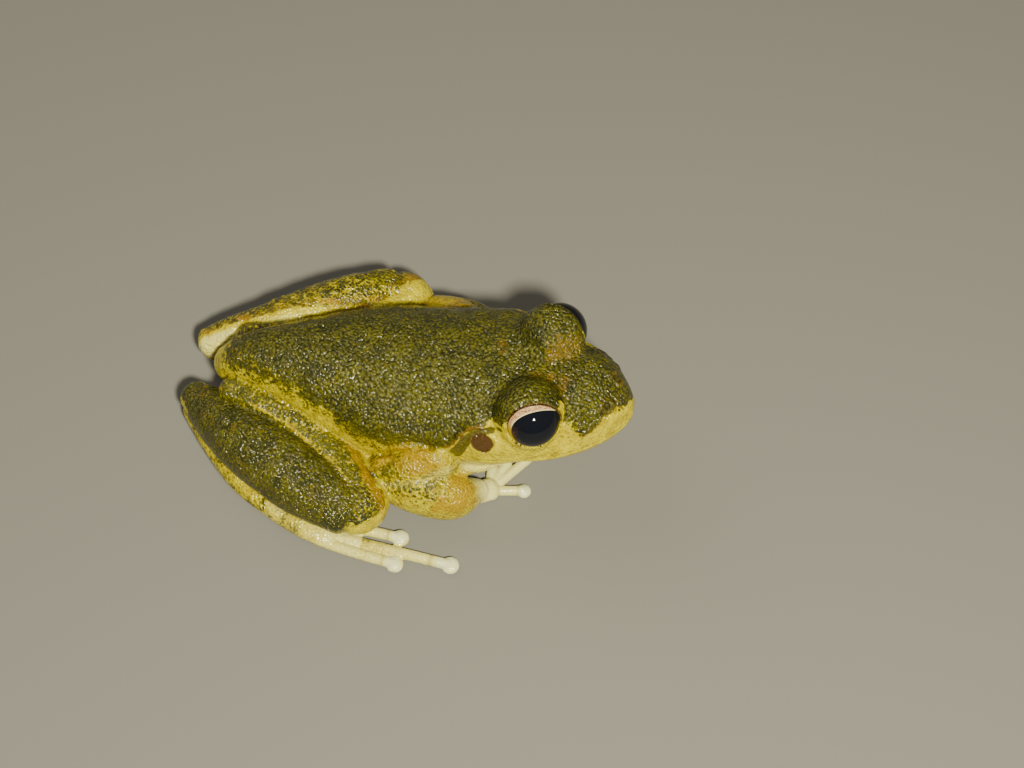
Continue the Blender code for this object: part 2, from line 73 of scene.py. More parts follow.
# Trunk and head in one path: x, y, z of the widest level, half-width, rise, drop
TRUNK_ROWS = (
    (1.5, 0.0, 5.6, 1.6, 2.0, 2.4), (2.8, -0.3, 6.2, 2.3, 3.0, 4.2), (5.0, -0.5, 7.2, 2.9, 3.9, 6.2),
    (8.0, -0.5, 8.0, 3.95, 4.4, 7.6), (12.0, -0.4, 7.9, 5.75, 5.4, 8.1), (16.0, -0.3, 7.4, 7.2, 6.3, 7.6),
    (20.0, -0.25, 7.4, 7.75, 6.7, 7.5), (24.0, -0.1, 8.2, 7.7, 6.2, 7.0), (27.0, 0.0, 9.2, 7.8, 5.6, 6.2),
    (30.0, -0.25, 10.2, 7.9, 4.9, 5.2), (33.4, -0.70, 10.9, 7.1, 4.5, 4.2),
)
TRUNK_SQUARENESS = 2.3
SNOUT_RISE = 0.8
SNOUT_SWING = -0.9
SNOUT_STATIONS = 24

# The limbs: x, distance out, z, half-width, half-height
THIGH_ROWS = {
    RIGHT: (
        (3.0, 3.1, 6.0, 2.2, 2.4), (6.0, 4.1, 5.5, 2.8, 3.0), (10.0, 5.6, 4.9, 3.1, 3.3),
        (14.0, 8.6, 4.5, 3.1, 3.1), (17.2, 12.5, 4.5, 3.15, 2.8),
    ),
    LEFT: (
        (3.0, 2.4, 6.0, 2.2, 2.4), (6.0, 3.2, 5.4, 2.7, 3.0), (10.0, 4.6, 4.8, 3.0, 3.3),
        (14.0, 7.5, 4.5, 3.0, 3.1), (17.2, 11.1, 4.5, 3.15, 2.8),
    ),
}
SHANK_ROWS = {
    RIGHT: (
        (-1.2, 3.3, 4.0, 1.6, 1.7), (1.2, 4.9, 4.5, 2.55, 2.2), (4.5, 7.0, 5.1, 3.4, 2.8),
        (8.0, 9.1, 5.4, 3.7, 2.9), (12.0, 11.2, 5.3, 3.6, 2.9), (16.2, 13.0, 4.9, 2.9, 2.6),
    ),
    LEFT: (
        (-1.2, 3.1, 4.0, 1.6, 1.7), (1.2, 3.9, 4.7, 2.0, 2.1), (4.5, 5.0, 5.4, 2.4, 2.5),
        (8.0, 6.8, 5.8, 2.7, 2.7), (12.0, 9.1, 5.8, 2.8, 2.7), (15.4, 11.1, 5.3, 2.6, 2.5),
    ),
}
TARSUS_ROWS = {
    RIGHT: (
        (-1.4, 3.8, 2.2, 1.2, 1.3), (1.5, 7.0, 1.7, 1.3, 1.35), (5.0, 10.3, 1.5, 1.3, 1.3),
        (9.4, 12.8, 1.3, 1.3, 1.1),
    ),
    LEFT: (
        (-1.4, 3.4, 2.2, 1.2, 1.3), (1.5, 5.7, 1.7, 1.3, 1.35), (5.0, 8.2, 1.5, 1.3, 1.3),
        (9.4, 10.7, 1.3, 1.3, 1.1),
    ),
}
METATARSUS_ROWS = {
    RIGHT: ((9.8, 13.0, 1.15, 1.25, 1.05), (12.0, 13.6, 1.05, 1.5, 0.95), (14.2, 14.1, 0.9, 1.6, 0.8)),
    LEFT: ((9.8, 10.9, 1.15, 1.25, 1.05), (12.0, 11.7, 1.05, 1.5, 0.95), (14.2, 12.4, 0.9, 1.6, 0.8)),
}
UPPER_ARM_ROWS = {
    RIGHT: ((24.4, 6.9, 7.5, 2.2, 2.4), (21.4, 8.3, 6.1, 2.2, 2.3), (18.9, 8.6, 4.8, 1.9, 2.1)),
    LEFT: ((24.6, 6.9, 7.5, 2.2, 2.4), (22.6, 8.7, 6.1, 2.2, 2.3), (20.8, 9.8, 4.8, 1.9, 2.1)),
}
# Skin between the arm and the throat, which only the skin has
CHEST_ROWS = dict.fromkeys(SIDES.values(), (
    (23.0, 6.3, 5.8, 1.8, 2.4), (26.3, 6.5, 5.6, 1.5, 1.6), (29.3, 5.7, 6.3, 1.2, 1.1),
    (31.8, 4.4, 7.6, 1.0, 0.8),
))
FOREARM_ROWS = {
    RIGHT: (
        (18.9, 8.9, 4.2, 2.0, 2.2), (22.4, 9.4, 4.1, 2.4, 3.1), (25.8, 9.35, 3.2, 2.1, 2.6),
        (27.9, 7.4, 1.7, 1.15, 1.15),
    ),
    LEFT: (
        (20.8, 10.0, 4.2, 2.0, 2.1), (23.6, 9.8, 3.9, 2.3, 2.9), (26.0, 9.0, 3.3, 2.1, 2.6),
        (28.0, 7.5, 1.7, 1.15, 1.15),
    ),
}
# Each limb's rows, the places round it, and how far its rounded ends reach
LIMB_SHAPES = {
    "thigh": (THIGH_ROWS, 48, (1.6, 2.7)),
    "shank": (SHANK_ROWS, 48, (1.3, 2.0)),
    "tarsus": (TARSUS_ROWS, 32, (1.0, 0.8)),
    "foot": (METATARSUS_ROWS, 32, (0.8, 1.2)),
    "upper_arm": (UPPER_ARM_ROWS, 48, (1.6, 1.6)),
    "chest": (CHEST_ROWS, 32, (1.5, 1.0)),
    "forearm": (FOREARM_ROWS, 48, (1.5, 0.8)),
}
ROW_STEPS = 8
CAP_STEPS = 6
# A digit's rounded end, and the least that any rounded end counts for in a distance
SHORT_CAP = 0.3

# The toes from the first to the fifth: x, distance out
TOE_PATHS = {
    RIGHT: (
        ((11.0, 12.4), (13.0, 11.2), (14.6, 10.3)),
        ((12.4, 12.9), (15.4, 12.0), (17.8, 11.5)),
        ((13.4, 13.5), (17.6, 13.1), (21.3, 13.3)),
        ((13.8, 14.2), (20.0, 14.7), (26.6, 15.3)),
        ((13.4, 14.9), (17.5, 15.6), (21.3, 16.1)),
    ),
    LEFT: (
        ((11.0, 10.6), (12.4, 9.2), (13.6, 8.0)),
        ((12.4, 11.0), (14.9, 9.7), (16.8, 8.8)),
        ((13.4, 11.8), (17.2, 10.8), (20.2, 9.8)),
        ((13.8, 12.5), (19.6, 12.1), (25.2, 11.2)),
        ((13.4, 13.1), (17.4, 13.0), (20.9, 12.5)),
    ),
}
TOE_RADIUS = 0.55
TOE_DISC_RADIUS = 0.9
HAND_TURN = {RIGHT: 34.0, LEFT: 38.0}
WRIST_HALF_WIDTH = 1.1
WRIST_HALF_HEIGHT = 1.05
PALM_LENGTH = 1.2
PALM_HALF_WIDTH = 1.2
PALM_HALF_HEIGHT = 0.85
FINGER_RADIUS = 0.5
FINGER_DISC_RADIUS = 0.75
FINGER_TURNS = (62.0, 38.0, 19.0, -24.0)
FINGER_LENGTHS = (4.3, 5.0, 6.4, 3.7)
FINGER_BEND = 0.6
FINGER_OVERLAP = 0.36
DIGIT_RING = 20
DISC_FLATNESS = 0.62
DISC_LEVEL = 0.55
WEB_REACH = 0.62
WEB_NOTCH = 0.42
WEB_BOTTOM = 0.2
WEB_TOP = 0.75

VOXEL = 0.11
RELAX_ROUNDS = 16
CHUNK = 20000
BOX_SOFTNESS = np.array((0.25, 0.25, 0.5))

# Ahead of the neck, out from the head's middle, height
EYE_PLACES = {RIGHT: (7.6, 4.65, 14.25), LEFT: (7.35, 5.2, 14.3)}
EYE_AXIS = (0.453, 0.785, 0.423)
PUPIL_HALF = (0.95, 0.80)
PUPIL_AHEAD = 0.1
PUPIL_LIFT = -0.04
PUPIL_TILT = 11.0
EYE_TILT = 12.0
# Degrees from the eye's axis to the lids' edges, and on to where the lids end
OPENING_WIDTH = 72.0
OPENING_TOP = {RIGHT: 64.0, LEFT: 42.0}
OPENING_BOTTOM = 60.0
LID_WIDTH = 34.0
LID_FULL = 8.0
LID_ROLL = 7.0
LID_FOLD_STEP = 8.0
RIM_SNAP = 1.7
LID_FOLD_RISE = 0.05
LID_REACH = 2.2
LID_THICKNESS = 0.34
RIM_GAP = 0.1
SOCKET_GAP = 0.3
BROW_REACH = 4.0
BROW_WIDTH = 0.9
# The balls that raise an eye's dome and brow: offset from the eye, added radius, stretch
EYE_DOMES = (
    ((-0.25, -0.5, -0.22), 0.62, (1.06, 1.12, 0.98)),
    ((-0.3, -1.8, -0.95), 0.3, (1.2, 1.3, 0.85)),
)


def smooth_rows(rows):
    """Rows read from a smooth curve through the given rows."""
    rows = np.array(rows, float)
    spans = np.linalg.norm(np.diff(rows[:, :3], axis=0), axis=1)
    knots = np.concatenate(([0.0], np.cumsum(spans)))
    last = len(rows) - 1
    slopes = []
    for index in range(len(rows)):
        low = max(index - 1, 0)
        high = min(index + 1, last)
        slopes.append((rows[high] - rows[low]) / (knots[high] - knots[low]))
    result = []
    for index in range(last):
        span = knots[index + 1] - knots[index]
        for step in range(ROW_STEPS):
            t = step / ROW_STEPS
            result.append(
                (2 * t ** 3 - 3 * t ** 2 + 1) * rows[index]
                + (t ** 3 - 2 * t ** 2 + t) * span * slopes[index]
                + (3 * t ** 2 - 2 * t ** 3) * rows[index + 1]
                + (t ** 3 - t ** 2) * span * slopes[index + 1]
            )
    result.append(rows[-1])
    return np.array(result)


def snout_rows():
    """The snout tapers from the last trunk row to its tip by one rounded formula."""
    x, y, z, wide, rise, drop = TRUNK_ROWS[-1]
    rows = []
    for station in range(1, SNOUT_STATIONS):
        reach = math.sin(math.pi / 2 * station / SNOUT_STATIONS)
        place = (x + (SNOUT_TIP_X - x) * reach, y + SNOUT_SWING * reach, z + SNOUT_RISE * reach)
        slim = (1 - reach ** 1.3) ** 0.62
        shallow = (1 - reach ** 3.0) ** 0.55
        rows.append((*place, wide * slim, rise * shallow, drop * shallow))
    return rows


def cap_rows(row, direction, depth):
    """Rows that round off an end, from its rim out to the pole."""
    result = []
    for step in range(1, CAP_STEPS + 1):
        angle = math.pi / 2 * step / CAP_STEPS
        centre = row[:3] + direction * depth * math.sin(angle)
        result.append(np.concatenate((centre, row[3:] * max(math.cos(angle), 0.02))))
    return np.array(result)


def unit(vector):
    return vector / np.linalg.norm(vector)


def directions(path):
    """The way along, the level side and the up of a path at each of its rows."""
    along = np.gradient(path[:, :3], axis=0)
    along /= np.linalg.norm(along, axis=1, keepdims=True)
    side = np.cross((0.0, 0.0, 1.0), along)
    side /= np.linalg.norm(side, axis=1, keepdims=True)
    return along, side, np.cross(along, side)


class Limb:
    """A smooth loft: its dense rows, its surface, and places measured against it."""

    def __init__(self, rows, ring, caps, squareness=2.0, ending=()):
        self.path = np.vstack((smooth_rows(rows), *ending))
        self.ring = ring
        self.caps = caps
        self.squareness = squareness

    def surface(self):
        path = self.path
        body = [path]
        if self.caps[0]:
            start = unit(path[0, :3] - path[1, :3])
            body.insert(0, cap_rows(path[0], start, self.caps[0])[::-1])
        if self.caps[1]:
            end = unit(path[-1, :3] - path[-2, :3])
            body.append(cap_rows(path[-1], end, self.caps[1]))
        rows = np.vstack(body)
        _, side, up = directions(rows)
        angles = np.linspace(0, 2 * np.pi, self.ring, endpoint=False)
        power = 2 / self.squareness
        across = np.sign(np.cos(angles)) * np.abs(np.cos(angles)) ** power
        height = np.sign(np.sin(angles)) * np.abs(np.sin(angles)) ** power
        tall = np.where(height > 0, rows[:, 4:5], rows[:, 5:6]) * height
        spots = (
            rows[:, None, :3]
            + side[:, None, :] * (across * rows[:, 3:4])[:, :, None]
            + up[:, None, :] * tall[:, :, None]
        ).reshape(-1, 3)
        faces = []
        for low in range(0, len(spots) - self.ring, self.ring):
            high = low + self.ring
            for turn in range(self.ring):
                following = (turn + 1) % self.ring
                faces.append((low + turn, low + following, high + following, high + turn))
        faces.append(tuple(range(self.ring))[::-1])
        faces.append(tuple(range(len(spots) - self.ring, len(spots))))
        return spots, faces

    def close_to(self, points):
        """Which places lie in the limb's box, with some room around it."""
        room = self.path[:, 3:].max() + 2.0
        low = self.path[:, :3].min(axis=0) - room
        high = self.path[:, :3].max(axis=0) + room
        return ((points > low) & (points < high)).all(axis=1)

    def measure(self, points):
        """Progress along the limb, place across and up, and rough distance outside."""
        path = self.path
        nearest = np.empty(len(points), int)
        lengths_square = (path[:, :3] ** 2).sum(axis=1)
        for start in range(0, len(points), CHUNK):
            part = points[start:start + CHUNK]
            gaps = lengths_square - 2 * part @ path[:, :3].T
            nearest[start:start + CHUNK] = gaps.argmin(axis=1)
        along, side, up = directions(path)
        offset = points - path[nearest, :3]
        spacing = np.linalg.norm(np.diff(path[:, :3], axis=0), axis=1)
        lengths = np.concatenate(([0.0], np.cumsum(spacing)))
        ahead = (offset * along[nearest]).sum(axis=1)
        progress = (lengths[nearest] + ahead) / lengths[-1]
        across = (offset * side[nearest]).sum(axis=1) / path[nearest, 3]
        height = (offset * up[nearest]).sum(axis=1)
        high = height / np.where(height > 0, path[nearest, 4], path[nearest, 5])
        before_start = np.minimum(ahead, 0) / max(self.caps[0], SHORT_CAP)
        past_end = np.maximum(ahead, 0) / max(self.caps[1], SHORT_CAP)
        beyond = np.where(nearest == 0, before_start, 0)
        beyond += np.where(nearest == len(path) - 1, past_end, 0)
        power = self.squareness
        reach = (np.abs(across) ** power + np.abs(high) ** power + np.abs(beyond) ** power) ** (1 / power)
        outside = (reach - 1) * path[nearest, 3:5].mean(axis=1)
        return progress, across, high, outside


def limb_rows(rows, side):
    """One side's rows in full: x, y, z, half-width, rise and an equal drop."""
    return [(x, out * side, z, wide, tall, tall) for x, out, z, wide, tall in rows]


def toe_paths(side):
    return [[(x, out * side) for x, out in path] for path in TOE_PATHS[side]]


def digit(path, radius):
    rows = [(x, y, radius, radius, radius, radius) for x, y in path]
    return Limb(rows, DIGIT_RING, (radius, SHORT_CAP))


def make_limbs():
    """Every lofted part of the body by name."""
    limbs = {"trunk": Limb(TRUNK_ROWS, 96, (0.9, 0.0), TRUNK_SQUARENESS, snout_rows())}
    for name, side in SIDES.items():
        for group, (rows, ring, caps) in LIMB_SHAPES.items():
            limbs[f"{group}_{name}"] = Limb(limb_rows(rows[side], side), ring, caps)
            if group == "foot":
                for number, path in enumerate(toe_paths(side), 1):
                    limbs[f"toe_{number}_{name}"] = digit(path, TOE_RADIUS)
        limbs.update(make_hand(name, side))
    return limbs


def make_hand(name, side):
    wrist_x, wrist_out = FOREARM_ROWS[side][-1][:2]
    wrist = np.array((wrist_x, wrist_out * side))
    heading = -side * math.radians(HAND_TURN[side])
    palm_end = wrist + np.array((math.cos(heading), math.sin(heading))) * PALM_LENGTH
    rows = (
        (*wrist, WRIST_HALF_HEIGHT, WRIST_HALF_WIDTH, WRIST_HALF_HEIGHT, WRIST_HALF_HEIGHT),
        (*palm_end, PALM_HALF_HEIGHT, PALM_HALF_WIDTH, PALM_HALF_HEIGHT, PALM_HALF_HEIGHT),
    )
    parts = {"hand_" + name: Limb(rows, 32, (0.6, 0.9))}
    for number, (turn, length) in enumerate(zip(FINGER_TURNS, FINGER_LENGTHS), 1):
        angle = heading - side * math.radians(turn)
        reach = np.array((math.cos(angle), math.sin(angle)))
        root = palm_end - reach * FINGER_OVERLAP
        path = [root + reach * length * share for share in (0.0, FINGER_BEND, 1.0)]
        parts[f"finger_{number}_{name}"] = digit(path, FINGER_RADIUS)
    return parts


def ball_surface(centre, radius, stretch=(1, 1, 1), turn=None, segments=40, rings=24):
    """A closed sphere, stretched and turned, as points and faces."""
    spots = []
    for ring in range(rings + 1):
        tilt = math.pi * ring / rings
        width = max(math.sin(tilt), 0.01)
        for segment in range(segments):
            angle = 2 * math.pi * segment / segments
            spots.append((width * math.cos(angle), width * math.sin(angle), math.cos(tilt)))
    faces = []
    for low in range(0, rings * segments, segments):
        high = low + segments
        for segment in range(segments):
            following = (segment + 1) % segments
            faces.append((low + segment, high + segment, high + following, low + following))
    faces.append(tuple(range(segments)))
    faces.append(tuple(range(rings * segments, (rings + 1) * segments))[::-1])
    spots = np.array(spots) * radius * np.array(stretch)
    if turn is not None:
        spots = spots @ np.array(turn).T
    return spots + np.array(centre), faces


def disc_surface(place, radius):
    centre = (*place, DISC_LEVEL * radius)
    return ball_surface(centre, radius, (1, 1, DISC_FLATNESS), segments=24, rings=12)


def head_turn():
    return np.array(Matrix.Rotation(HEAD_YAW, 3, "Z"))


def eye_place(side):
    """An eye's middle and the way that it looks."""
    ahead, out, high = EYE_PLACES[side]
    centre = np.array((NECK_X, 0.0, 0.0)) + head_turn() @ np.array((ahead, side * out, high))
    axis = head_turn() @ np.array((EYE_AXIS[0], side * EYE_AXIS[1], EYE_AXIS[2]))
    return centre, unit(axis)


def web_surface(first, second):
    """A thin web from the roots of two toes to a notched edge between them."""
    first = np.array(first)
    second = np.array(second)
    far_first = first[1] + (first[2] - first[1]) * (WEB_REACH - 0.5)
    far_second = second[1] + (second[2] - second[1]) * (WEB_REACH - 0.5)
    middle = (first[0] + second[0]) / 2
    edge = (far_first + far_second) / 2
    notch = middle + (edge - middle) * WEB_NOTCH / WEB_REACH
    outline = [first[0], far_first, notch, far_second, second[0]]
    count = len(outline)
    spots = [(*corner, level) for level in (WEB_BOTTOM, WEB_TOP) for corner in outline]
    faces = [tuple(range(count))[::-1], tuple(range(count, 2 * count))]
    for index in range(count):
        following = (index + 1) % count
        faces.append((index, following, following + count, index + count))
    return np.array(spots), faces


def to_metres(spots):
    return (np.asarray(spots) - BOX_MIDDLE) * MILLIMETRE


def placed(name, data):
    """A mesh, lamp or camera as an object in the scene."""
    thing = bpy.data.objects.new(name, data)
    bpy.context.scene.collection.objects.link(thing)
    return thing


def make_object(name, spots, faces):
    data = bpy.data.meshes.new(name)
    data.from_pydata(to_metres(spots).tolist(), [], faces)
    data.update()
    return placed(name, data)


def joined(surfaces):
    spots = []
    faces = []
    start = 0
    for some, polygons in surfaces:
        spots.append(some)
        faces += [tuple(index + start for index in polygon) for polygon in polygons]
        start += len(some)
    return np.vstack(spots), faces


def applied(thing):
    """Replace an object's mesh with what its modifiers make of it."""
    evaluated = thing.evaluated_get(bpy.context.evaluated_depsgraph_get())
    result = bpy.data.meshes.new_from_object(evaluated)
    thing.modifiers.clear()
    old = thing.data
    thing.data = result
    bpy.data.meshes.remove(old)


def spots_of(data):
    spots = np.empty(len(data.vertices) * 3)
    data.vertices.foreach_get("co", spots)
    return spots.reshape(-1, 3) / MILLIMETRE + BOX_MIDDLE


def normals_of(data):
    normals = np.empty(len(data.vertices) * 3, np.float32)
    data.vertex_normals.foreach_get("vector", normals)
    return normals.reshape(-1, 3).astype(float)


def edges_of(data):
    pairs = np.empty(len(data.edges) * 2, int)
    data.edges.foreach_get("vertices", pairs)
    return pairs.reshape(-1, 2)


def put_spots(data, spots):
    data.vertices.foreach_set("co", to_metres(spots).ravel())
    data.update()


def put_field(data, name, values):
    field = data.attributes.new(name, "FLOAT", "POINT")
    field.data.foreach_set("value", np.asarray(values).astype(np.float32))


def ramp(values, low, high):
    """A soft step from 0 at low to 1 at high."""
    t = np.clip((values - low) / (high - low), 0, 1)
    return t * t * (3 - 2 * t)


def bell(distance, width):
    return np.exp(-(distance / width) ** 2)


def distance_to(spots, place):
    return np.linalg.norm(spots - np.array(place), axis=1)


def highest(*values):
    result = values[0]
    for value in values[1:]:
        result = np.maximum(result, value)
    return result


def ripple(spots, size, seed):
    """Smooth noise between -1 and 1 with features of about the given size."""
    shift = Vector((seed * 7.31, seed * 3.17, seed * 5.93))
    return np.array([noise.noise(Vector(spot) / size + shift) for spot in spots])


def line_gap(points, line):
    """Distance to a bent line and progress along it."""
    line = np.array(line, float)
    best = np.full(len(points), 1e9)
    progress = np.zeros(len(points))
    spans = np.linalg.norm(np.diff(line, axis=0), axis=1)
    knots = np.concatenate(([0.0], np.cumsum(spans))) / spans.sum()
    for index, (start, end) in enumerate(zip(line, line[1:])):
        step = end - start
        t = np.clip(((points - start) @ step) / (step @ step), 0, 1)
        gap = np.linalg.norm(points - (start + t[:, None] * step), axis=1)
        closer = gap < best
        best = np.where(closer, gap, best)
        progress = np.where(closer, knots[index] + t * (knots[index + 1] - knots[index]), progress)
    return best, progress


def raw_skin(limbs):
    """The limbs, domes, discs and webs as one closed mesh."""
    surfaces = [limb.surface() for limb in limbs.values()]
    turn = head_turn()
    for name, side in SIDES.items():
        for (ahead, out, high), added, stretch in EYE_DOMES:
            centre = eye_place(side)[0] + turn @ np.array((ahead, side * out, high))
            surfaces.append(ball_surface(centre, EYE_RADIUS + added, stretch, turn))
        paths = toe_paths(side)
        surfaces += [disc_surface(path[-1], TOE_DISC_RADIUS) for path in paths]
        for number in range(1, len(FINGER_TURNS) + 1):
            tip = limbs[f"finger_{number}_{name}"].path[-1, :2]
            surfaces.append(disc_surface(tip, FINGER_DISC_RADIUS))
        surfaces += [web_surface(first, second) for first, second in zip(paths, paths[1:])]
    skin = make_object("skin", *joined(surfaces))
    remesh = skin.modifiers.new("remesh", "REMESH")
    remesh.mode = "VOXEL"
    remesh.voxel_size = VOXEL * MILLIMETRE
    applied(skin)
    return skin


def eye_axes(side, axis, tilt):
    """Level and upward directions square to an eye's axis, tilted down at the front."""
    level = unit(np.cross((0.0, 0.0, 1.0), axis))
    raised = np.cross(axis, level)
    tilt = math.radians(tilt) * side
    return (
        level * math.cos(tilt) + raised * math.sin(tilt),
        raised * math.cos(tilt) - level * math.sin(tilt),
    )


def from_opening(spots, side):
    """Distance from the eye's middle, turn about its axis, degrees past the rim, the rim's place."""
    centre, axis = eye_place(side)
    level, raised = eye_axes(side, axis, EYE_TILT)
    away = spots - centre
    radius = np.maximum(np.linalg.norm(away, axis=1), 1e-6)
    angle = np.degrees(np.arccos(np.clip(away @ axis / radius, -1, 1)))
    turn = np.arctan2(away @ raised, away @ level)
    tall = np.where(np.sin(turn) > 0, OPENING_TOP[side], OPENING_BOTTOM)
    limit = 1 / np.sqrt((np.cos(turn) / OPENING_WIDTH) ** 2 + (np.sin(turn) / tall) ** 2)
    toward = np.cos(turn)[:, None] * level + np.sin(turn)[:, None] * raised
    bend = np.radians(limit)[:, None]
    rim = centre + (axis * np.cos(bend) + toward * np.sin(bend)) * (EYE_RADIUS + RIM_GAP)
    return radius, turn, angle - limit, rim


def open_eyes(spots):
    """Press the skin in behind each eye's opening, so that its edge makes the lids."""
    rims = np.full(len(spots), FAR_AWAY)
    lids = np.zeros(len(spots))
    for side in SIDES.values():
        centre = eye_place(side)[0]
        radius, turn, past, rim_spots = from_opening(spots, side)
        near = radius < EYE_RADIUS + LID_REACH
        inside = near & (past < 0)
        lid = near & (past >= 0) & (past < LID_WIDTH)
        edge = EYE_RADIUS + RIM_GAP + LID_THICKNESS * (1 - np.exp(-np.maximum(past, 0) / LID_ROLL))
        folds = np.sin(2 * math.pi * past / LID_FOLD_STEP) * ramp(past, 2.0, 6.0)
        edge = edge + LID_FOLD_RISE * folds * ramp(np.sin(turn), 0.1, 0.5)
        wanted = np.where(lid, radius + (edge - radius) * ramp(past, LID_WIDTH, LID_FULL), radius)
        wanted = np.where(inside, np.minimum(radius, EYE_RADIUS - SOCKET_GAP), wanted)
        pressed = centre + (spots - centre) * (wanted / radius)[:, None]
        spots = np.where((inside | lid)[:, None], pressed, spots)
        on_rim = near & (np.abs(past) < RIM_SNAP)
        spots = np.where(on_rim[:, None], rim_spots, spots)
        rims = np.where(near, np.where(inside | on_rim, 0, past), rims)
        lids = np.where(near, np.sin(turn), lids)
    return spots, rims, lids


# Lines on either side of the head: ahead of the neck, out from its middle, height
FOLD_LINE = (
    (5.0, 5.9, 14.6), (4.4, 6.1, 14.1), (3.2, 6.3, 13.1), (2.1, 6.5, 12.7),
    (1.4, 7.1, 11.8), (0.8, 7.5, 10.7), (-0.3, 7.8, 9.7), (-1.1, 8.2, 9.5),
)
SHADE_LINE = (
    (5.5, 6.8, 14.4), (4.1, 6.4, 13.1), (3.0, 6.7, 12.5), (2.3, 7.0, 12.0),
    (1.7, 7.5, 11.0), (1.2, 7.7, 9.6), (0.8, 8.1, 8.8),
)
LID_CREASE = (
    (4.6, 5.3, 15.6), (4.4, 3.8, 16.0), (5.1, 2.5, 16.2), (6.5, 1.7, 16.2),
    (8.1, 1.1, 15.7), (9.5, 1.8, 15.4), (10.2, 2.6, 14.9),
)
CHEEK_CREASE = ((2.1, 7.5, 10.7), (2.9, 7.9, 9.3), (3.2, 7.8, 8.0))
THROAT_CREASE = ((0.2, 8.2, 8.9), (1.2, 8.2, 7.6), (2.9, 7.4, 6.6), (5.0, 6.0, 6.2))
LORE_LINE = ((10.4, 2.6, 14.9), (11.6, 2.2, 14.8), (12.8, 1.9, 14.6), (13.7, 1.6, 14.5))
# How far the lines raise the skin or press it in, and how wide
LINE_RELIEF = (
    (SHADE_LINE, -0.20, 0.32), (LID_CREASE, -0.03, 0.5), (CHEEK_CREASE, -0.08, 0.16),
    (THROAT_CREASE, -0.14, 0.26), (LORE_LINE, 0.16, 0.5),
)
FOLD_RISE = 0.24
FOLD_WIDTH = 0.34
NOSTRIL = (13.9, 1.45, 14.4)
NOSTRIL_RADIUS = 0.32
NOSTRIL_STRETCH = (0.8, 1.1, 1.0)
NOSTRIL_RISE = 0.16
NOSTRIL_DEPTH = 0.42
TYMPANUM = (3.5, 7.2, 11.7)
TYMPANUM_RADIUS = 1.09
TYMPANUM_DEPTH = 0.06
TYMPANUM_RIM = 0.07
GREY_SPOT = (1.7, 7.6, 8.0)
MOUTH_CORNER = (3.2, 8.9)
MOUTH_RISE = math.tan(math.radians(10.0))
MOUTH_DEPTH = 0.17
LIP_RISE = 0.08

# The inner upper edge of the right shank: x, distance out, height
SHANK_RIDGE = (
    (0.2, 3.6, 6.9), (2.0, 3.8, 7.6), (6.6, 5.7, 8.1), (10.7, 7.5, 7.7), (12.6, 8.8, 7.4),
    (14.4, 9.8, 7.4), (15.9, 11.1, 7.3), (17.2, 12.7, 7.1), (17.3, 14.0, 6.7),
)
SHANK_RIDGE_RISE = 0.12
# The upper outline of an arm over the flank: x, distance out, height
ARM_LINE = (
    (18.6, 8.3, 7.0), (19.3, 8.0, 8.6), (20.5, 7.7, 9.6), (22.5, 7.6, 9.8), (24.2, 8.2, 9.2),
    (25.2, 8.3, 7.6), (25.9, 8.0, 6.0),
)
ARM_RIDGE_STEP = (0.3, -0.45, 0.5)
ARM_COLOUR_STEP = (0.3, -0.6, 0.8)
ARM_RIDGE_RISE = 0.26
ARM_CREASE_DEPTH = 0.24

# Height of the yellow's upper edge along the head, by distance ahead of the neck
HEAD_YELLOW = (
    (-3.0, 9.0), (-1.1, 9.4), (-0.3, 9.7), (0.8, 10.6), (1.4, 11.7), (2.1, 12.5), (3.2, 13.0),
    (4.4, 14.2), (5.2, 14.8), (5.9, 14.5), (9.2, 14.6), (9.6, 16.0), (10.9, 15.9), (11.5, 14.8),
    (12.0, 13.1), (12.4, 12.4), (12.9, 12.7), (13.9, 13.7), (14.6, 13.8), (15.4, 13.3), (16.5, 13.0),
)
# How far towards the head's middle the yellow before each eye reaches
YELLOW_BAR_END = {RIGHT: 2.9, LEFT: 4.6}
# Height of the flank's yellow along the body, by x
FLANK_YELLOW = (
    (1.0, 8.4), (3.0, 9.4), (4.9, 9.9), (8.2, 10.2), (10.3, 10.3), (12.5, 10.0), (14.5, 9.3),
    (17.0, 8.4), (18.6, 8.3), (20.5, 8.6), (23.0, 9.0), (25.0, 9.2),
)
# Rust patches on the head: ahead of the neck, across it (towards the left), radius
RUST_PATCHES = (
    (8.6, 2.3, 1.25), (9.4, 3.2, 0.9), (7.7, 1.6, 0.8), (6.9, -0.8, 0.55), (8.2, -0.7, 0.6),
    (9.6, -0.5, 0.6), (9.4, -1.5, 0.5), (10.4, -2.3, 0.45), (2.6, 1.9, 0.55), (3.0, 1.0, 0.4),
)
# Dark spots on the right forearm: place and radius
ARM_SPOTS = ((25.4, -11.1, 4.0, 0.42), (26.0, -10.9, 3.8, 0.3), (26.8, -10.7, 3.4, 0.28))

# Where trunk and limbs turn into each other, by their places in the survey's list, the crease
# between them is less deep: the two parts and the share of the depth that is left
SOFT_SEAMS = ((3, 4, 0.0), (6, 7, 0.0), (5, 6, 0.45), (1, 2, 0.8), (0, 5, 0.9))
SEAM_WIDTH = 0.3
SEAM_DEPTH = 0.2
SHARE_SOFTNESS = 0.16

WART_COUNT = 420
WART_SIZES = (0.16, 0.42)
WART_RISE = 0.28
WART_REACH = 0.9
WART_SEED = 5
# Gentle unevenness: how far it rises, and its size
BACK_RISE = 0.07
BACK_SIZE = 1.5
LEG_RISE = 0.05
LEG_SIZE = 1.3
FLANK_RISE = 0.09
FLANK_SIZE = 0.9


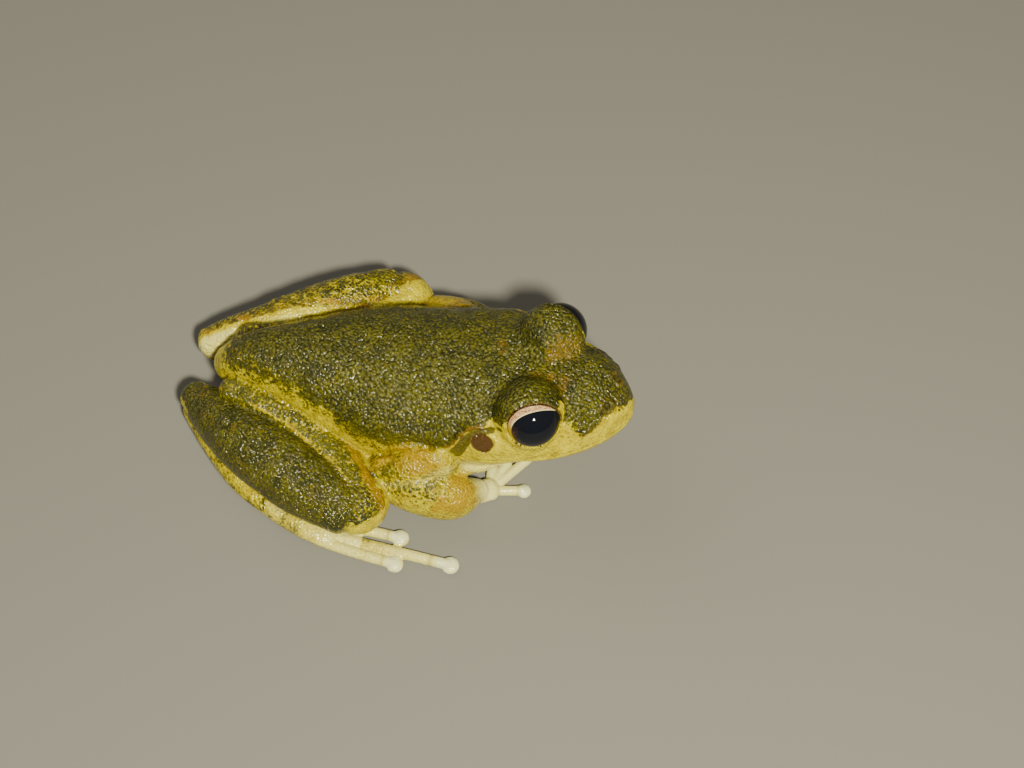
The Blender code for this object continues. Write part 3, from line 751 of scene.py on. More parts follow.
def relax(spots, edges, weights, rounds):
    """Even the skin out by moving each place part of the way to its neighbours' middle."""
    first, second = edges[:, 0], edges[:, 1]
    count = len(spots)
    shared = np.bincount(first, minlength=count) + np.bincount(second, minlength=count)
    shared = np.maximum(shared, 1)[:, None]
    for _ in range(rounds):
        total = np.empty_like(spots)
        for axis in range(3):
            total[:, axis] = (
                np.bincount(first, spots[second, axis], minlength=count)
                + np.bincount(second, spots[first, axis], minlength=count)
            )
        spots = spots + weights[:, None] * (total / shared - spots)
    return spots


def head_frame(spots):
    """Places as distance ahead of the neck, across from the head's middle, and height."""
    return (spots - np.array((NECK_X, 0.0, 0.0))) @ head_turn()


def both_sides(spots):
    """Places with their distance out, to either side, in place of the second value."""
    return np.stack((spots[:, 0], np.abs(spots[:, 1]), spots[:, 2]), axis=1)


def along_table(values, table):
    table = np.array(table)
    return np.interp(values, table[:, 0], table[:, 1])


class Survey:
    """What each place of the skin belongs to, and where on that part it is."""

    GROUPS = ("thigh", "shank", "tarsus", "foot", "upper_arm", "forearm", "hand")
    DIGITS = {"foot": "toe_", "hand": "finger_"}

    def __init__(self, limbs, spots):
        self.spots = spots
        self.head = head_frame(spots)
        self.sided = both_sides(self.head)
        self.side_of = {"right": spots[:, 1] < 0, "left": spots[:, 1] >= 0}
        self.far = spots[:, 1] > 0
        self.parts = {group: self.find_limb(limbs, group) for group in self.GROUPS}
        self.digit_reach = np.zeros(len(spots))
        for group, stem in self.DIGITS.items():
            self.add_digits(limbs, group, stem)
        self.share_out(limbs["trunk"].measure(spots)[3])
        self.digits = self.share["foot"] + self.share["hand"]
        self.wander = 0.5 * ripple(spots, 0.9, 31) + 0.35 * ripple(spots, 0.3, 32)
        self.blotch = ramp(ripple(spots, 1.1, 33) + 0.35 * self.wander, 0.12, 0.36)
        self.rusty = ramp(ripple(spots, 1.3, 35) + 0.3 * self.wander, 0.2, 0.45)
        self.speckle = ripple(spots, 0.27, 34)
        self.speckled = ramp(self.speckle + 0.6 * self.wander, 0.1, 0.5)
        outer = both_sides(spots)
        self.arm_gap = line_gap(outer, ARM_LINE)[0]
        self.arm_ridge = line_gap(outer + np.array(ARM_COLOUR_STEP), ARM_LINE)[0]
        ridge = line_gap(outer, SHANK_RIDGE)[0]
        self.shank_ridge = np.where(self.side_of["right"], ridge, FAR_AWAY)
        # How far each place faces up, which make_skin sets once the shape is done
        self.up = np.zeros(len(spots))

    def find_limb(self, limbs, group):
        """Progress along a limb, place across and up, and distance outside."""
        values = np.zeros((4, len(self.spots)))
        values[3] = FAR_AWAY
        for name, side in SIDES.items():
            limb = limbs[f"{group}_{name}"]
            mine = np.flatnonzero(self.side_of[name] & limb.close_to(self.spots))
            found = np.array(limb.measure(self.spots[mine]))
            found[1] *= -side
            values[:, mine] = found
        return values

    def add_digits(self, limbs, group, stem):
        """Count toes and fingers in with their foot or hand, and note the way along them."""
        outside = self.parts[group][3]
        for name, limb in limbs.items():
            if name.startswith(stem):
                own_side = self.side_of[name.split("_")[-1]]
                mine = np.flatnonzero(own_side & limb.close_to(self.spots))
                found = limb.measure(self.spots[mine])
                closer = found[3] < outside[mine]
                outside[mine[closer]] = found[3][closer]
                self.digit_reach[mine[closer]] = found[0][closer]

    def share_out(self, trunk_outside):
        """The share of each part in each place, and the creases between the parts."""
        stack = np.array([trunk_outside] + [self.parts[group][3] for group in self.GROUPS])
        order = np.argsort(stack, axis=0)
        ordered = np.take_along_axis(stack, order[:2], axis=0)
        soft = np.ones((len(stack), len(stack)))
        for first, second, depth in SOFT_SEAMS:
            soft[first, second] = soft[second, first] = depth
        self.seam = bell(ordered[1] - ordered[0], SEAM_WIDTH) * soft[order[0], order[1]]
        self.seam *= ramp(ordered[0], -1.2, -0.5)
        stack = np.exp(-(stack - stack.min(axis=0)) / SHARE_SOFTNESS)
        self.share = dict(zip(("trunk",) + self.GROUPS, stack / stack.sum(axis=0)))


def above_mouth(head):
    return head[:, 2] - MOUTH_CORNER[1] - MOUTH_RISE * (head[:, 0] - MOUTH_CORNER[0])


def fade_at_ends(along):
    """Full along most of a line, less at its start and nothing at its end."""
    return np.sin(np.clip(along * 0.9 + 0.1, 0, 1) * math.pi) ** 0.5


def head_relief(survey):
    """Fold, creases, lips, nostrils and tympana, as heights over the smooth skin."""
    head = survey.sided
    ahead = head[:, 0]
    trunk = survey.share["trunk"]
    gap, along = line_gap(head, FOLD_LINE)
    push = FOLD_RISE * bell(gap, FOLD_WIDTH) * fade_at_ends(along)
    for line, rise, width in LINE_RELIEF:
        push += rise * bell(line_gap(head, line)[0], width)
    mouth = above_mouth(head)
    lips = ramp(ahead, MOUTH_CORNER[0] - 0.2, MOUTH_CORNER[0] + 0.5) * trunk
    push += lips * (LIP_RISE * bell(mouth - 0.5, 0.35) - MOUTH_DEPTH * bell(mouth, 0.14))
    away = np.linalg.norm((head - np.array(NOSTRIL)) * NOSTRIL_STRETCH, axis=1)
    ring = bell(away - 1.7 * NOSTRIL_RADIUS, 0.28)
    push += NOSTRIL_RISE * ring * ramp(ahead, -2.0, -0.5) * trunk
    push -= NOSTRIL_DEPTH * ramp(away, NOSTRIL_RADIUS * 1.15, NOSTRIL_RADIUS * 0.3)
    away = distance_to(head, TYMPANUM)
    push -= TYMPANUM_DEPTH * ramp(away, TYMPANUM_RADIUS, TYMPANUM_RADIUS * 0.85)
    push += TYMPANUM_RIM * bell(away - TYMPANUM_RADIUS * 1.12, 0.14)
    return push


def body_relief(spots, upward, survey):
    """Arm and shank ridges, creases between parts, and gentle unevenness."""
    trunk = survey.share["trunk"]
    leg = survey.share["shank"] + survey.share["thigh"]
    outer = both_sides(spots)
    crease = bell(line_gap(outer, ARM_LINE)[0], 0.22)
    gap, along = line_gap(outer + np.array(ARM_RIDGE_STEP), ARM_LINE)
    push = fade_at_ends(along) * (ARM_RIDGE_RISE * bell(gap, 0.55) - ARM_CREASE_DEPTH * crease)
    push += SHANK_RIDGE_RISE * bell(survey.shank_ridge, 0.3)
    push -= SEAM_DEPTH * survey.seam
    push += BACK_RISE * trunk * ramp(upward, 0.1, 0.6) * ripple(spots, BACK_SIZE, 1)
    push += LEG_RISE * leg * ripple(spots, LEG_SIZE, 2)
    flank = trunk * ramp(0.75 - upward, 0, 0.5) * ramp(18 - spots[:, 0], 0, 4)
    push += FLANK_RISE * flank * np.abs(ripple(spots, FLANK_SIZE, 3))
    return push


def sculpt(spots, normals, survey):
    """Push the relief of head and body out from or into the smooth skin."""
    upward = np.clip(normals[:, 2], 0, 1)
    push = head_relief(survey) + body_relief(spots, upward, survey)
    return spots + normals * push[:, None]


def add_warts(spots, normals, survey):
    """Low round warts, scattered over the back, the head and the legs."""
    choose = np.random.default_rng(WART_SEED)
    upward = np.clip(normals[:, 2], 0, 1)
    rough = (survey.share["trunk"] + survey.share["shank"]) * ramp(upward, 0.25, 0.6)
    picks = choose.choice(len(spots), WART_COUNT, replace=False, p=rough / rough.sum())
    tree = KDTree(len(picks))
    for number, pick in enumerate(picks):
        tree.insert(Vector(spots[pick]), number)
    tree.balance()
    sizes = choose.uniform(*WART_SIZES, len(picks))
    push = np.zeros(len(spots))
    for index in np.flatnonzero(rough > 0.05):
        _, number, away = tree.find(Vector(spots[index]))
        if away < WART_REACH:
            size = sizes[number]
            push[index] = WART_RISE * size * math.exp(-(away / size) ** 2)
    return spots + normals * push[:, None]


# The masks that the skin's material mixes its colours by, each from 0 to 1
# The dark mask holds both dark markings and painted shade.
TONES = ("yellow", "orange", "rust", "dark", "cream")


def head_masks(survey):
    """Yellow face and lip, rusty edge and patches, a band of painted shade under the fold, and dark
    nostrils with painted shade in their pits.
    """
    head = survey.sided
    ahead, out, high = head.T
    on_head = ramp(ahead, -2.5, -1.2)
    wander = 0.22 * ripple(survey.spots, 0.55, 11) + 0.12 * ripple(survey.spots, 0.22, 12)
    across = survey.head[:, 1]
    edge = along_table(ahead, HEAD_YELLOW) - high + wander
    edge -= 0.9 * ramp(across, 0.0, 1.6) * ramp(ahead, 10.0, 12.0)
    bar_end = np.where(across > 0, YELLOW_BAR_END[LEFT], YELLOW_BAR_END[RIGHT])
    edge -= 4.0 * ramp(bar_end - out, 0.0, 0.5) * ramp(ahead, 8.4, 9.2) * ramp(12.0 - ahead, 0.0, 0.8)
    lore = ramp(ahead, 10.4, 11.2) * ramp(15.0 - ahead, 0.0, 1.0)
    yellow = ramp(edge / (0.16 + 0.7 * lore), -1.0, 1.0) * on_head
    gap = line_gap(head, FOLD_LINE)[0]
    yellow = highest(yellow, 0.9 * bell(gap, 0.22) * ramp(edge, -0.1, 0.2))
    rust = 0.9 * bell(gap + 0.6 * wander, 0.2) * ramp(edge, 0.35, -0.15)
    # Painted shade: a dark band just under the fold behind the eye, where the fold's shadow falls,
    # widening towards its lower end.
    gap, along = line_gap(head, SHADE_LINE)
    painted_shade_band = ramp(gap - 0.14 - 0.46 * along + 0.25 * wander, 0.2, -0.02)
    for patch_ahead, patch_across, radius in RUST_PATCHES:
        away = np.hypot(ahead - patch_ahead, across - patch_across)
        patch = ramp(away + 2.0 * wander, radius * 1.6, radius * 0.3)
        rust = highest(rust, 0.5 * patch * ramp(high, 13.0, 14.0))
        yellow = highest(yellow, 0.22 * patch)
    # Painted shade: the nostrils are darkened inside their pits.
    nose = distance_to(head, NOSTRIL)
    ring = bell(nose + 0.5 * wander - 0.6, 0.2)
    hint = bell(edge + 0.3, 0.7) * ramp(ahead, 10.5, 11.5) * ramp(high, 12.0, 12.6)
    grey = ramp(distance_to(head, GREY_SPOT) + wander, 0.4, 0.1)
    throat = 0.5 * ramp(-above_mouth(head), 0.1, 1.8)
    return {
        "yellow": yellow,
        "orange": 0.3 * bell(edge, 0.5) * ramp(ahead, 10.0, 10.6) * ramp(16.0 - ahead, 0.0, 2.0),
        "rust": highest(rust, 0.4 * ring, 0.2 * hint),
        "dark": highest(0.8 * painted_shade_band, ramp(nose + 0.4 * wander, 0.55, 0.25), 0.5 * grey),
        "cream": on_head * highest(throat, 0.8 * ramp(-survey.up, 0.2, 0.9)),
    }


def body_masks(survey):
    """Yellow flanks and vent, pale belly, hints of orange, rust and dark blotches."""
    wander = survey.wander
    x, _, z = survey.spots.T
    behind = 1 - ramp(survey.sided[:, 0], -2.5, -1.2)
    edge = along_table(x, FLANK_YELLOW) - z
    flank = (0.86 * ramp(edge + 2.2 * wander, -2.6, 2.0) - 0.07) * behind
    front = 0.35 * bell(edge - 0.2 + wander, 0.8) * ramp(x, 12, 15)
    return {
        "yellow": highest(flank, 0.75 * ramp(2.4 - x + 1.2 * wander, 0.0, 1.6)),
        "orange": behind * highest(front, 0.25 * survey.rusty * ramp(edge, -0.5, 1.0)),
        "rust": 0.1 * survey.rusty * behind,
        "dark": 0.3 * survey.blotch * behind * ramp(-edge, -0.5, 1.0),
        "cream": behind * ramp(-survey.up, 0.25, 0.8),
    }


def thigh_masks(survey, part):
    along, inward, high, _ = part
    wander = survey.wander
    lower = ramp(along, 0.4, 0.8)
    near_inner = ramp(inward + 0.3 * wander, 0.62, 0.95)
    far_inner = ramp(inward + 0.25 * wander + 0.5 * lower, 0.3, 0.6)
    inner = np.where(survey.far, far_inner, near_inner)
    knee = ramp(along, 0.85, 0.95) * ramp(0.6 - survey.up, 0.0, 0.35)
    start = np.where(survey.far, 0.1 - 0.3 * lower, 0.62)
    edge = bell(inward - start + 0.3 * wander, 0.2) * ramp(high, 0.0, 0.5)
    return {
        "yellow": highest(inner, knee, ramp(-high, 0.1, 0.7), 0.27 + 0.3 * wander),
        "orange": 0.8 * edge * ramp(along, 0.3, 0.5),
        "dark": 0.3 * survey.blotch * (1 - inner),
        "cream": 0.6 * ramp(-survey.up, 0.4, 0.9),
    }


def shank_masks(survey, part):
    along, inward, high, _ = part
    wander = survey.wander
    far = survey.far
    start = np.where(far, -0.15 + 0.8 * ramp(along, 0.3, 0.95), 0.62)
    inner = ramp(inward + 0.15 * wander, start, start + 0.25)
    heel = ramp(0.1 - along, 0, 0.06) * ramp(0.6 - survey.up, 0.0, 0.35)
    low = ramp(-high + 0.2 * wander, 0.6, 0.95)
    pale = ramp(inward, start + 0.25, start + 0.5) * ramp(0.62 - along, 0, 0.3)
    edge = bell(inward - start + 0.4 * wander, 0.22) * ramp(high, 0.0, 0.3)
    return {
        "yellow": highest(inner, 0.9 * heel, 0.7 * low, 0.1 + 0.25 * wander, 0.36 * far * (1 + wander)),
        "orange": 0.95 * far * edge * (0.4 + 0.6 * survey.rusty),
        "rust": 0.26 * survey.rusty,
        "dark": 0.5 * survey.blotch * (1 - inner),
        "cream": 0.6 * far * pale,
    }


def tarsus_masks(survey, part):
    along, inward, high, _ = part
    wander = survey.wander
    return {
        "yellow": 0.5 + 0.6 * wander,
        "rust": 0.5 * bell(inward - 0.35 + 0.2 * wander, 0.2) * ramp(high, 0, 0.4),
        "dark": 0.36 * survey.speckled,
        "cream": 0.3 * ramp(along + 0.2 * wander, 0.85, 1.1),
    }


def foot_masks(survey, part):
    reach = highest(0.6 * part[0], ramp(survey.digit_reach, 0.0, 0.9))
    before_disc = ramp(0.85 - survey.digit_reach, 0, 0.2)
    return {
        "yellow": 0.5 + 0.3 * ramp(reach, 0.1, 0.7) + 0.5 * survey.wander,
        "rust": 0.35 * ramp(-survey.speckle, 0.0, 0.2) * before_disc,
        "dark": 0.4 * survey.speckled * before_disc,
        "cream": 0.08 + 0.64 * ramp(reach + 0.2 * survey.wander, 0.1, 1.0),
    }


def upper_arm_masks(survey, part):
    along, inward, high, _ = part
    wander = survey.wander
    top = ramp(high + 0.3 * wander, 0.2, 0.9) * ramp(along + 0.4 * wander, 0.3, 0.7)
    crest = ramp(high + 0.5 * wander, -0.1, 0.8) * bell(along - 0.25 + 0.2 * wander, 0.4)
    # On the far side the arm's own yellow and orange are raised, as painted light where less light
    # reaches it.
    return {
        "yellow": highest(0.54 - 0.25 * top + 0.3 * wander, 0.9 * survey.far),
        "orange": highest(0.85 * crest, 0.6 * survey.far),
        "cream": 0.25 * ramp(inward, 0.85, 1.0),
    }


def forearm_masks(survey, part):
    along, inward, high, _ = part
    wander = survey.wander
    top = ramp(high + 0.4 * wander, 0.15, 0.8) * ramp(0.7 - along + 0.3 * wander, 0, 0.3)
    crest = bell(along - 0.66 + 0.2 * wander, 0.14) * ramp(high, -0.2, 0.5)
    dark = 0
    for *centre, radius in ARM_SPOTS:
        away = distance_to(survey.spots, centre) + 0.4 * wander
        dark = highest(dark, 0.7 * ramp(away, radius * 1.6, radius * 0.6))
    return {
        "yellow": 0.66 - 0.3 * top + 0.3 * wander,
        "orange": 0.85 * crest + 0.35 * survey.rusty,
        "dark": dark,
        "cream": highest(ramp(along + 0.1 * wander, 0.74, 1.02), 0.25 * ramp(inward, 0.7, 1.0)),
    }


def hand_masks(_, part):
    return {"yellow": 0.5 + 0.4 * ramp(0.5 - part[0], 0, 0.4), "cream": 0.85}


LIMB_MASKS = {
    "thigh": thigh_masks, "shank": shank_masks, "tarsus": tarsus_masks, "foot": foot_masks,
    "upper_arm": upper_arm_masks, "forearm": forearm_masks, "hand": hand_masks,
}


def paint(data, survey, rims, lids):
    """Store every mask of the skin on its mesh."""
    head = head_masks(survey)
    body = body_masks(survey)
    on_head = ramp(survey.sided[:, 0], -2.5, -1.2)
    totals = {}
    for tone in TONES:
        totals[tone] = survey.share["trunk"] * (on_head * head[tone] + (1 - on_head) * body[tone])
    for group, masks_of in LIMB_MASKS.items():
        masks = masks_of(survey, survey.parts[group])
        for tone, values in masks.items():
            totals[tone] = totals[tone] + survey.share[group] * values
    upper = ramp(lids, -0.2, 0.25)
    lower_lid = ramp(rims, 9.0, 4.0)
    arm = bell(survey.arm_ridge + 0.5 * survey.wander, 0.9) * (1 - ramp(survey.sided[:, 0], -2.2, -0.8))
    shank = bell(survey.shank_ridge + 0.25 * survey.wander, 0.19)
    lid_line = 0.6 * upper * ramp(rims, 4.0, 1.0)
    # Painted shade: a dark line along the crease over each arm.
    arm_crease_shade = 0.5 * bell(survey.arm_gap, 0.16)
    # Painted shade, at 0.4 of each seam's weight, in the creases between the parts.
    totals["dark"] = highest(totals["dark"], lid_line, arm_crease_shade, 0.4 * survey.seam)
    totals["yellow"] = highest(totals["yellow"], (1 - upper) * lower_lid, 0.6 * arm, 0.7 * shank)
    totals["orange"] = highest(totals["orange"], 0.8 * arm, (0.45 + 0.5 * survey.rusty) * shank)
    totals["rust"] = highest(totals["rust"], 0.9 * upper * ramp(rims, 1.5, 0.0))
    totals["cream"] = totals["cream"] * (1 - lower_lid)
    for tone, values in totals.items():
        put_field(data, tone, np.clip(values, 0, 1))
    away = distance_to(survey.sided, TYMPANUM) / TYMPANUM_RADIUS
    put_field(data, "drum", ramp(away, 1.03, 0.93))
    put_field(data, "disc", survey.digits * ramp(survey.digit_reach, 0.86, 0.93))
    put_field(data, "ring", survey.digits * bell(survey.digit_reach - 0.85, 0.02))
    smooth = highest(totals["cream"], 0.55 * totals["yellow"])
    put_field(data, "grain", (1 - 0.75 * smooth) * (1 - 0.6 * survey.digits))


def kept_in_box(spots):
    """Places held inside the box of the solids, softly except at the floor."""
    low = np.array(CAD_BOX[0]) / MILLIMETRE + BOX_MIDDLE
    high = np.array(CAD_BOX[1]) / MILLIMETRE + BOX_MIDDLE
    start = high - BOX_SOFTNESS
    over = np.maximum(spots - start, 0) / BOX_SOFTNESS
    spots = np.where(over > 0, start + BOX_SOFTNESS * np.tanh(over), spots)
    start = low[:2] + BOX_SOFTNESS[:2]
    over = np.maximum(start - spots[:, :2], 0) / BOX_SOFTNESS[:2]
    spots[:, :2] = np.where(over > 0, start - BOX_SOFTNESS[:2] * np.tanh(over), spots[:, :2])
    spots[:, 2] = np.maximum(spots[:, 2], 0.0)
    return spots


def make_skin():
    limbs = make_limbs()
    skin = raw_skin(limbs)
    data = skin.data
    edges = edges_of(data)
    spots = spots_of(data)
    survey = Survey(limbs, spots)
    spots = relax(spots, edges, np.full(len(spots), 0.5), 2)
    spots = relax(spots, edges, 0.5 * (1 - survey.digits), RELAX_ROUNDS)
    for side in SIDES.values():
        brow = bell(distance_to(spots, eye_place(side)[0]) - BROW_REACH, BROW_WIDTH)
        spots = relax(spots, edges, 0.5 * brow, 4 * RELAX_ROUNDS)
    put_spots(data, spots)
    spots = sculpt(spots, normals_of(data), survey)
    put_spots(data, spots)
    spots = add_warts(spots, normals_of(data), survey)
    spots, rims, lids = open_eyes(spots)
    put_spots(data, kept_in_box(spots))
    survey.up = normals_of(data)[:, 2]
    paint(data, survey, rims, lids)
    data.shade_smooth()
    return skin


class Shading:
    """A material's nodes, made and joined by short calls."""

    def __init__(self, name):
        self.material = bpy.data.materials.new(name)
        self.material.use_nodes = True
        self.nodes = self.material.node_tree.nodes
        self.links = self.material.node_tree.links
        self.shader = self.nodes["Principled BSDF"]

    def node(self, kind, **settings):
        made = self.nodes.new("ShaderNode" + kind)
        for key, value in settings.items():
            setattr(made, key, value)
        return made

    def feed(self, socket, value):
        if isinstance(value, bpy.types.NodeSocket):
            self.links.new(value, socket)
        else:
            socket.default_value = value

    def finish(self, values):
        """Give the shader's own sockets their values or links, and return the material."""
        for name, value in values.items():
            self.feed(self.shader.inputs[name], value)
        return self.material

    def field(self, name):
        return self.node("Attribute", attribute_name=name).outputs["Fac"]

    def place(self):
        return self.node("TexCoord").outputs["Object"]

    def maths(self, operation, *values):
        made = self.node("Math", operation=operation)
        for socket, value in zip(made.inputs, values):
            self.feed(socket, value)
        return made.outputs[0]

    def times(self, first, second):
        return self.maths("MULTIPLY", first, second)

    def times_plus(self, first, second, added):
        return self.maths("MULTIPLY_ADD", first, second, added)

    def flipped(self, value):
        return self.maths("SUBTRACT", 1.0, value)

    def cloud(self, size, detail=2.0, roughness=0.5):
        """Noise with features of a size in millimetres."""
        made = self.node("TexNoise")
        self.feed(made.inputs["Vector"], self.place())
        made.inputs["Scale"].default_value = 1 / (size * MILLIMETRE)
        made.inputs["Detail"].default_value = detail
        made.inputs["Roughness"].default_value = roughness
        return made

    def noise(self, *shape):
        return self.cloud(*shape).outputs["Fac"]

    def bent(self, size, amount):
        """Places shifted by noise, so that cells laid on them lose their even look."""
        shift = self.node("VectorMath", operation="MULTIPLY_ADD")
        self.feed(shift.inputs[0], self.cloud(size).outputs["Color"])
        shift.inputs[1].default_value = (amount * MILLIMETRE,) * 3
        self.feed(shift.inputs[2], self.place())
        return shift.outputs[0]

    def cells(self, size, place):
        made = self.node("TexVoronoi")
        self.feed(made.inputs["Vector"], place)
        made.inputs["Scale"].default_value = 1 / (size * MILLIMETRE)
        return made.outputs["Distance"]

    def step(self, value, low, high):
        made = self.node("MapRange", interpolation_type="SMOOTHSTEP")
        self.feed(made.inputs["Value"], value)
        made.inputs["From Min"].default_value = low
        made.inputs["From Max"].default_value = high
        return made.outputs["Result"]

    def blend(self, amount, first, second):
        made = self.node("Mix", data_type="RGBA")
        self.feed(made.inputs["Factor"], amount)
        colours = [socket for socket in made.inputs if socket.type == "RGBA"]
        for socket, colour in zip(colours, (first, second)):
            self.feed(socket, colour if isinstance(colour, bpy.types.NodeSocket) else (*colour, 1.0))
        return [socket for socket in made.outputs if socket.type == "RGBA"][0]


OLIVE_DARK = (0.018, 0.02, 0.001)
OLIVE = (0.064, 0.062, 0.001)
OLIVE_LIGHT = (0.185, 0.165, 0.006)
YELLOW = (0.55, 0.47, 0.0)
YELLOW_DEEP = (0.36, 0.28, 0.0)
CREAM = (0.72, 0.69, 0.28)
ORANGE = (0.29, 0.165, 0.0)
RUST = (0.13, 0.07, 0.0)
# Dark markings, and painted shade under the head's fold, in the nostrils and in the creases.
DARK_AND_SHADE = (0.04, 0.034, 0.006)
DISC = (0.64, 0.65, 0.38)
DRUM = (0.06, 0.028, 0.006)

# Sizes of the skin's grain, in millimetres, and how far each stands out
GRANULE_SIZE = 0.28
GRANULE_DEPTH = -0.16
FINE_SIZE = 0.15
FINE_DEPTH = -0.025
WRINKLE_SIZE = 0.6
WRINKLE_RISE = 0.12
# Tones laid over olive and yellow: mask, colour, raggedness, where it starts and is full, strength
ORANGE_LAYER = ("orange", ORANGE, 1.4, 0.1, 0.9, 0.8)
RUST_LAYER = ("rust", RUST, 1.3, 0.1, 0.8, 0.85)
DARK_AND_SHADE_LAYER = ("dark", DARK_AND_SHADE, 0.7, 0.15, 0.8, 0.9)


def olive_colour(made, valley_shade):
    speckle = made.noise(0.3, 3.0)
    blotch = made.noise(2.4, 4.0, 0.6)
    olive = made.blend(made.step(blotch, 0.3, 0.62), OLIVE_DARK, OLIVE)
    olive = made.blend(made.times(made.step(speckle, 0.46, 0.7), 0.5), olive, OLIVE_LIGHT)
    # Painted shade in the hollows between granules.
    return made.blend(valley_shade, olive, OLIVE_DARK)


def yellow_colour(made, valley_shade):
    yellow = made.blend(made.step(made.noise(1.0, 4.0, 0.6), 0.4, 0.68), YELLOW, YELLOW_DEEP)
    # Painted shade in the hollows between granules, towards the deeper yellow.
    yellow = made.blend(made.times(valley_shade, 0.6), yellow, YELLOW_DEEP)
    specks = made.step(made.noise(0.2, 2.0), 0.6, 0.7)
    return made.blend(made.times(specks, 0.4), yellow, OLIVE)


def with_layer(made, colour, ragged, layer):
    mask, tone, raggedness, start, full, strength = layer
    amount = made.times_plus(ragged, raggedness, made.field(mask))
    return made.blend(made.times(made.step(amount, start, full), strength), colour, tone)


def skin_colour(made, granules):
    """Olive broken up into yellow, darkened by painted shade in the hollows between granules, with the
    painted tones laid over it raggedly.
    """
    # Painted shade: darker where the granules' bump sinks between them.
    valley_shade = made.times(made.step(granules, 0.35, 0.8), 0.8)
    ragged = made.maths("SUBTRACT", made.noise(0.4, 4.0, 0.65), 0.5)
    clumps = made.times_plus(granules, 0.9, made.maths("SUBTRACT", ragged, 0.3))
    amount = made.times_plus(made.field("yellow"), 1.35, clumps)
    olive = olive_colour(made, valley_shade)
    yellow = yellow_colour(made, valley_shade)
    colour = made.blend(made.step(amount, 0.5, 1.05), olive, yellow)
    colour = with_layer(made, colour, ragged, ORANGE_LAYER)
    colour = with_layer(made, colour, ragged, RUST_LAYER)
    colour = made.blend(made.field("cream"), colour, CREAM)
    colour = with_layer(made, colour, ragged, DARK_AND_SHADE_LAYER)
    colour = made.blend(made.field("disc"), colour, DISC)
    colour = made.blend(made.times(made.field("ring"), 0.35), colour, DRUM)
    return made.blend(made.field("drum"), colour, DRUM)


def skin_material():
    made = Shading("frog_skin")
    bent = made.bent(0.5, 0.22)
    granules = made.cells(GRANULE_SIZE, bent)
    fine = made.cells(FINE_SIZE, bent)
    height = made.times(made.times(granules, granules), GRANULE_DEPTH)
    height = made.times_plus(made.times(fine, fine), FINE_DEPTH, height)
    height = made.times_plus(made.noise(WRINKLE_SIZE, 3.0, 0.5), WRINKLE_RISE, height)
    height = made.times(height, made.times_plus(made.field("grain"), 0.88, 0.12))
    bump = made.node("Bump")
    bump.inputs["Distance"].default_value = MILLIMETRE
    made.feed(bump.inputs["Height"], height)
    return made.finish({
        "Base Color": skin_colour(made, granules),
        "Roughness": made.times_plus(made.noise(0.5, 2.0), 0.16, 0.08),
        "Normal": bump.outputs["Normal"],
        "Specular IOR Level": 0.5,
        "Subsurface Weight": 0.06,
        "Subsurface Radius": (1.0, 0.6, 0.1),
        "Subsurface Scale": 0.0005,
    })


# Near black, with a faint blue tint that is a painted reflection of the eye's bluish sheen.
PUPIL_WITH_SHEEN = (0.004, 0.005, 0.009)
IRIS = (0.56, 0.33, 0.17)
IRIS_PALE = (0.62, 0.44, 0.24)
IRIS_DARK = (0.12, 0.035, 0.01)
IRIS_LINE = (0.72, 0.62, 0.34)
GOLD = (0.36, 0.25, 0.01)
LID_SHADE = (0.03, 0.008, 0.002)


def eye_material():
    """A broad black pupil, a copper iris above it and a thin gold ring under it."""
    made = Shading("frog_eye")
    across = made.field("pupil_across")
    tall = made.field("pupil_up")
    past = made.field("past")
    square = made.maths("ADD", made.times(across, across), made.times(tall, tall))
    ring = made.maths("SQRT", square)
    above = made.step(tall, -0.1, 0.3)
    speckle = made.noise(0.11, 2.0, 0.6)
    iris = made.blend(made.step(made.noise(0.5, 2.0), 0.4, 0.6), IRIS, IRIS_PALE)
    iris = made.blend(made.step(speckle, 0.4, 0.54), IRIS_DARK, iris)
    iris = made.blend(above, GOLD, iris)
    line = made.flipped(made.step(ring, 1.005, 1.035))
    iris = made.blend(made.times(line, above), iris, IRIS_LINE)
    flecks = made.times(made.step(speckle, 0.5, 0.62), made.step(ring, 0.72, 1.0))
    below = made.step(made.times_plus(across, -0.4, made.times(tall, -1.0)), -0.2, 0.7)
    pupil = made.blend(made.times(flecks, below), PUPIL_WITH_SHEEN, IRIS_DARK)
    colour = made.blend(made.step(ring, 0.985, 1.005), pupil, iris)
    lower_ring = made.times(made.step(past, -8.0, -6.0), made.flipped(above))
    colour = made.blend(lower_ring, colour, GOLD)
    colour = made.blend(made.step(past, -4.5, -2.5), colour, LID_SHADE)
    return made.finish({
        "Base Color": colour,
        "Roughness": 0.25,
        "Specular IOR Level": 0.0,
        "Coat Weight": 1.0,
        "Coat IOR": 1.36,
        "Coat Roughness": 0.02,
    })


def make_eye(name, side, material):
    centre, axis = eye_place(side)
    level, raised = eye_axes(side, axis, PUPIL_TILT)
    turn = np.stack((level, raised, axis), axis=1)
    spots, faces = ball_surface(centre, EYE_RADIUS, turn=turn, segments=96, rings=64)
    eye = make_object("eye_ball_" + name, spots, faces)
    local = (spots - centre) @ turn / EYE_RADIUS
    put_field(eye.data, "pupil_across", (-side * local[:, 0] - PUPIL_AHEAD) / PUPIL_HALF[0])
    put_field(eye.data, "pupil_up", (local[:, 1] - PUPIL_LIFT) / PUPIL_HALF[1])
    put_field(eye.data, "past", from_opening(spots, side)[2])
    eye.data.shade_smooth()
    eye.data.materials.append(material)
    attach(eye, BODY)
    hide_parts("eye_" + name)


FLOOR_REACH = 1.5
FLOOR_COLOUR = (0.16, 0.157, 0.15, 1)
FLOOR_ROUGHNESS = 0.8


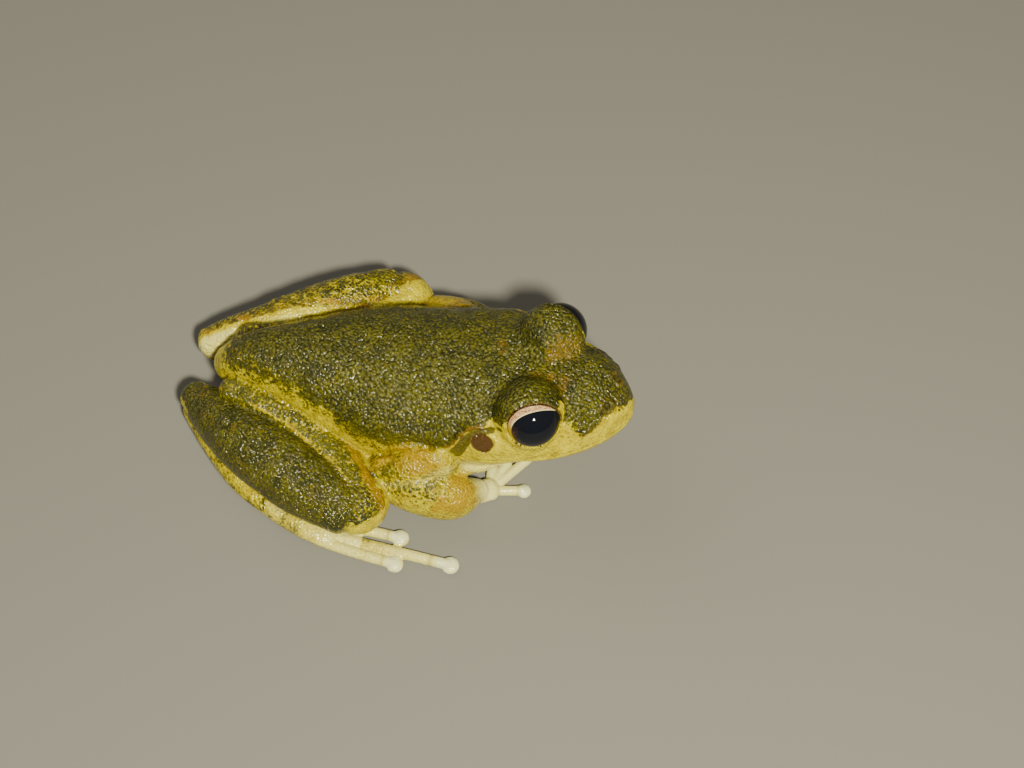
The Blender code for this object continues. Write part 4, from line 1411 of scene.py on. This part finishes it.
def make_floor():
    data = bpy.data.meshes.new("floor")
    corners = [(x * FLOOR_REACH, y * FLOOR_REACH, 0) for x, y in ((-1, -1), (1, -1), (1, 1), (-1, 1))]
    data.from_pydata(corners, [], [(0, 1, 2, 3)])
    floor = placed("floor", data)
    data.materials.append(Shading("floor").finish({
        "Base Color": FLOOR_COLOUR, "Roughness": FLOOR_ROUGHNESS,
    }))


CAMERA_AZIMUTH = math.radians(10.0)
CAMERA_ELEVATION = math.radians(60.0)
CAMERA_SPOT = (47.006, -96.855, 180.623)
FOCAL_PIXELS = 2060.0
FRAME_PIXELS = 1024.0
SENSOR = 36.0


def make_camera():
    data = bpy.data.cameras.new("camera")
    data.sensor_width = SENSOR
    data.lens = SENSOR * FOCAL_PIXELS / FRAME_PIXELS
    data.clip_start = 0.005
    camera = placed("camera", data)
    turn, lift = CAMERA_AZIMUTH, CAMERA_ELEVATION
    back = Vector((
        math.sin(turn) * math.cos(lift), -math.cos(turn) * math.cos(lift), math.sin(lift)
    ))
    right = Vector((math.cos(turn), math.sin(turn), 0.0))
    up = back.cross(right)
    axes = Matrix((right, up, back)).transposed().to_4x4()
    camera.matrix_world = Matrix.Translation(Vector(to_metres(CAMERA_SPOT))) @ axes
    bpy.context.scene.camera = camera


WORLD_COLOUR = (1.0, 0.96, 0.85, 1)
WORLD_STRENGTH = 0.17
# Name, place, what it is aimed at, size, power, colour
LIGHTS = (
    ("key", (0.07, -0.14, 0.22), (0, 0, 0.005), 0.025, 1.65, (1.0, 0.94, 0.68)),
    ("fill", (-0.25, 0.15, 0.3), (0, 0, 0), 0.3, 0.5, (1.0, 0.95, 0.72)),
)


def add_light(name, place, aim, size, power, colour):
    data = bpy.data.lights.new(name, "AREA")
    data.shape = "DISK"
    data.size = size
    data.energy = power
    data.color = colour
    light = placed(name, data)
    light.location = place
    direction = Vector(aim) - Vector(place)
    light.rotation_euler = direction.to_track_quat("-Z", "Y").to_euler()


def make_lights():
    world = bpy.data.worlds.new("studio")
    world.use_nodes = True
    background = world.node_tree.nodes["Background"]
    background.inputs["Color"].default_value = WORLD_COLOUR
    background.inputs["Strength"].default_value = WORLD_STRENGTH
    bpy.context.scene.world = world
    for light in LIGHTS:
        add_light(*light)


make_camera()
make_floor()
make_lights()
skin = make_skin()
skin.data.materials.append(skin_material())
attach(skin, BODY)
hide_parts(*[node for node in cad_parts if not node.startswith("eye_")])
eye_finish = eye_material()
for name, side in SIDES.items():
    make_eye(name, side, eye_finish)
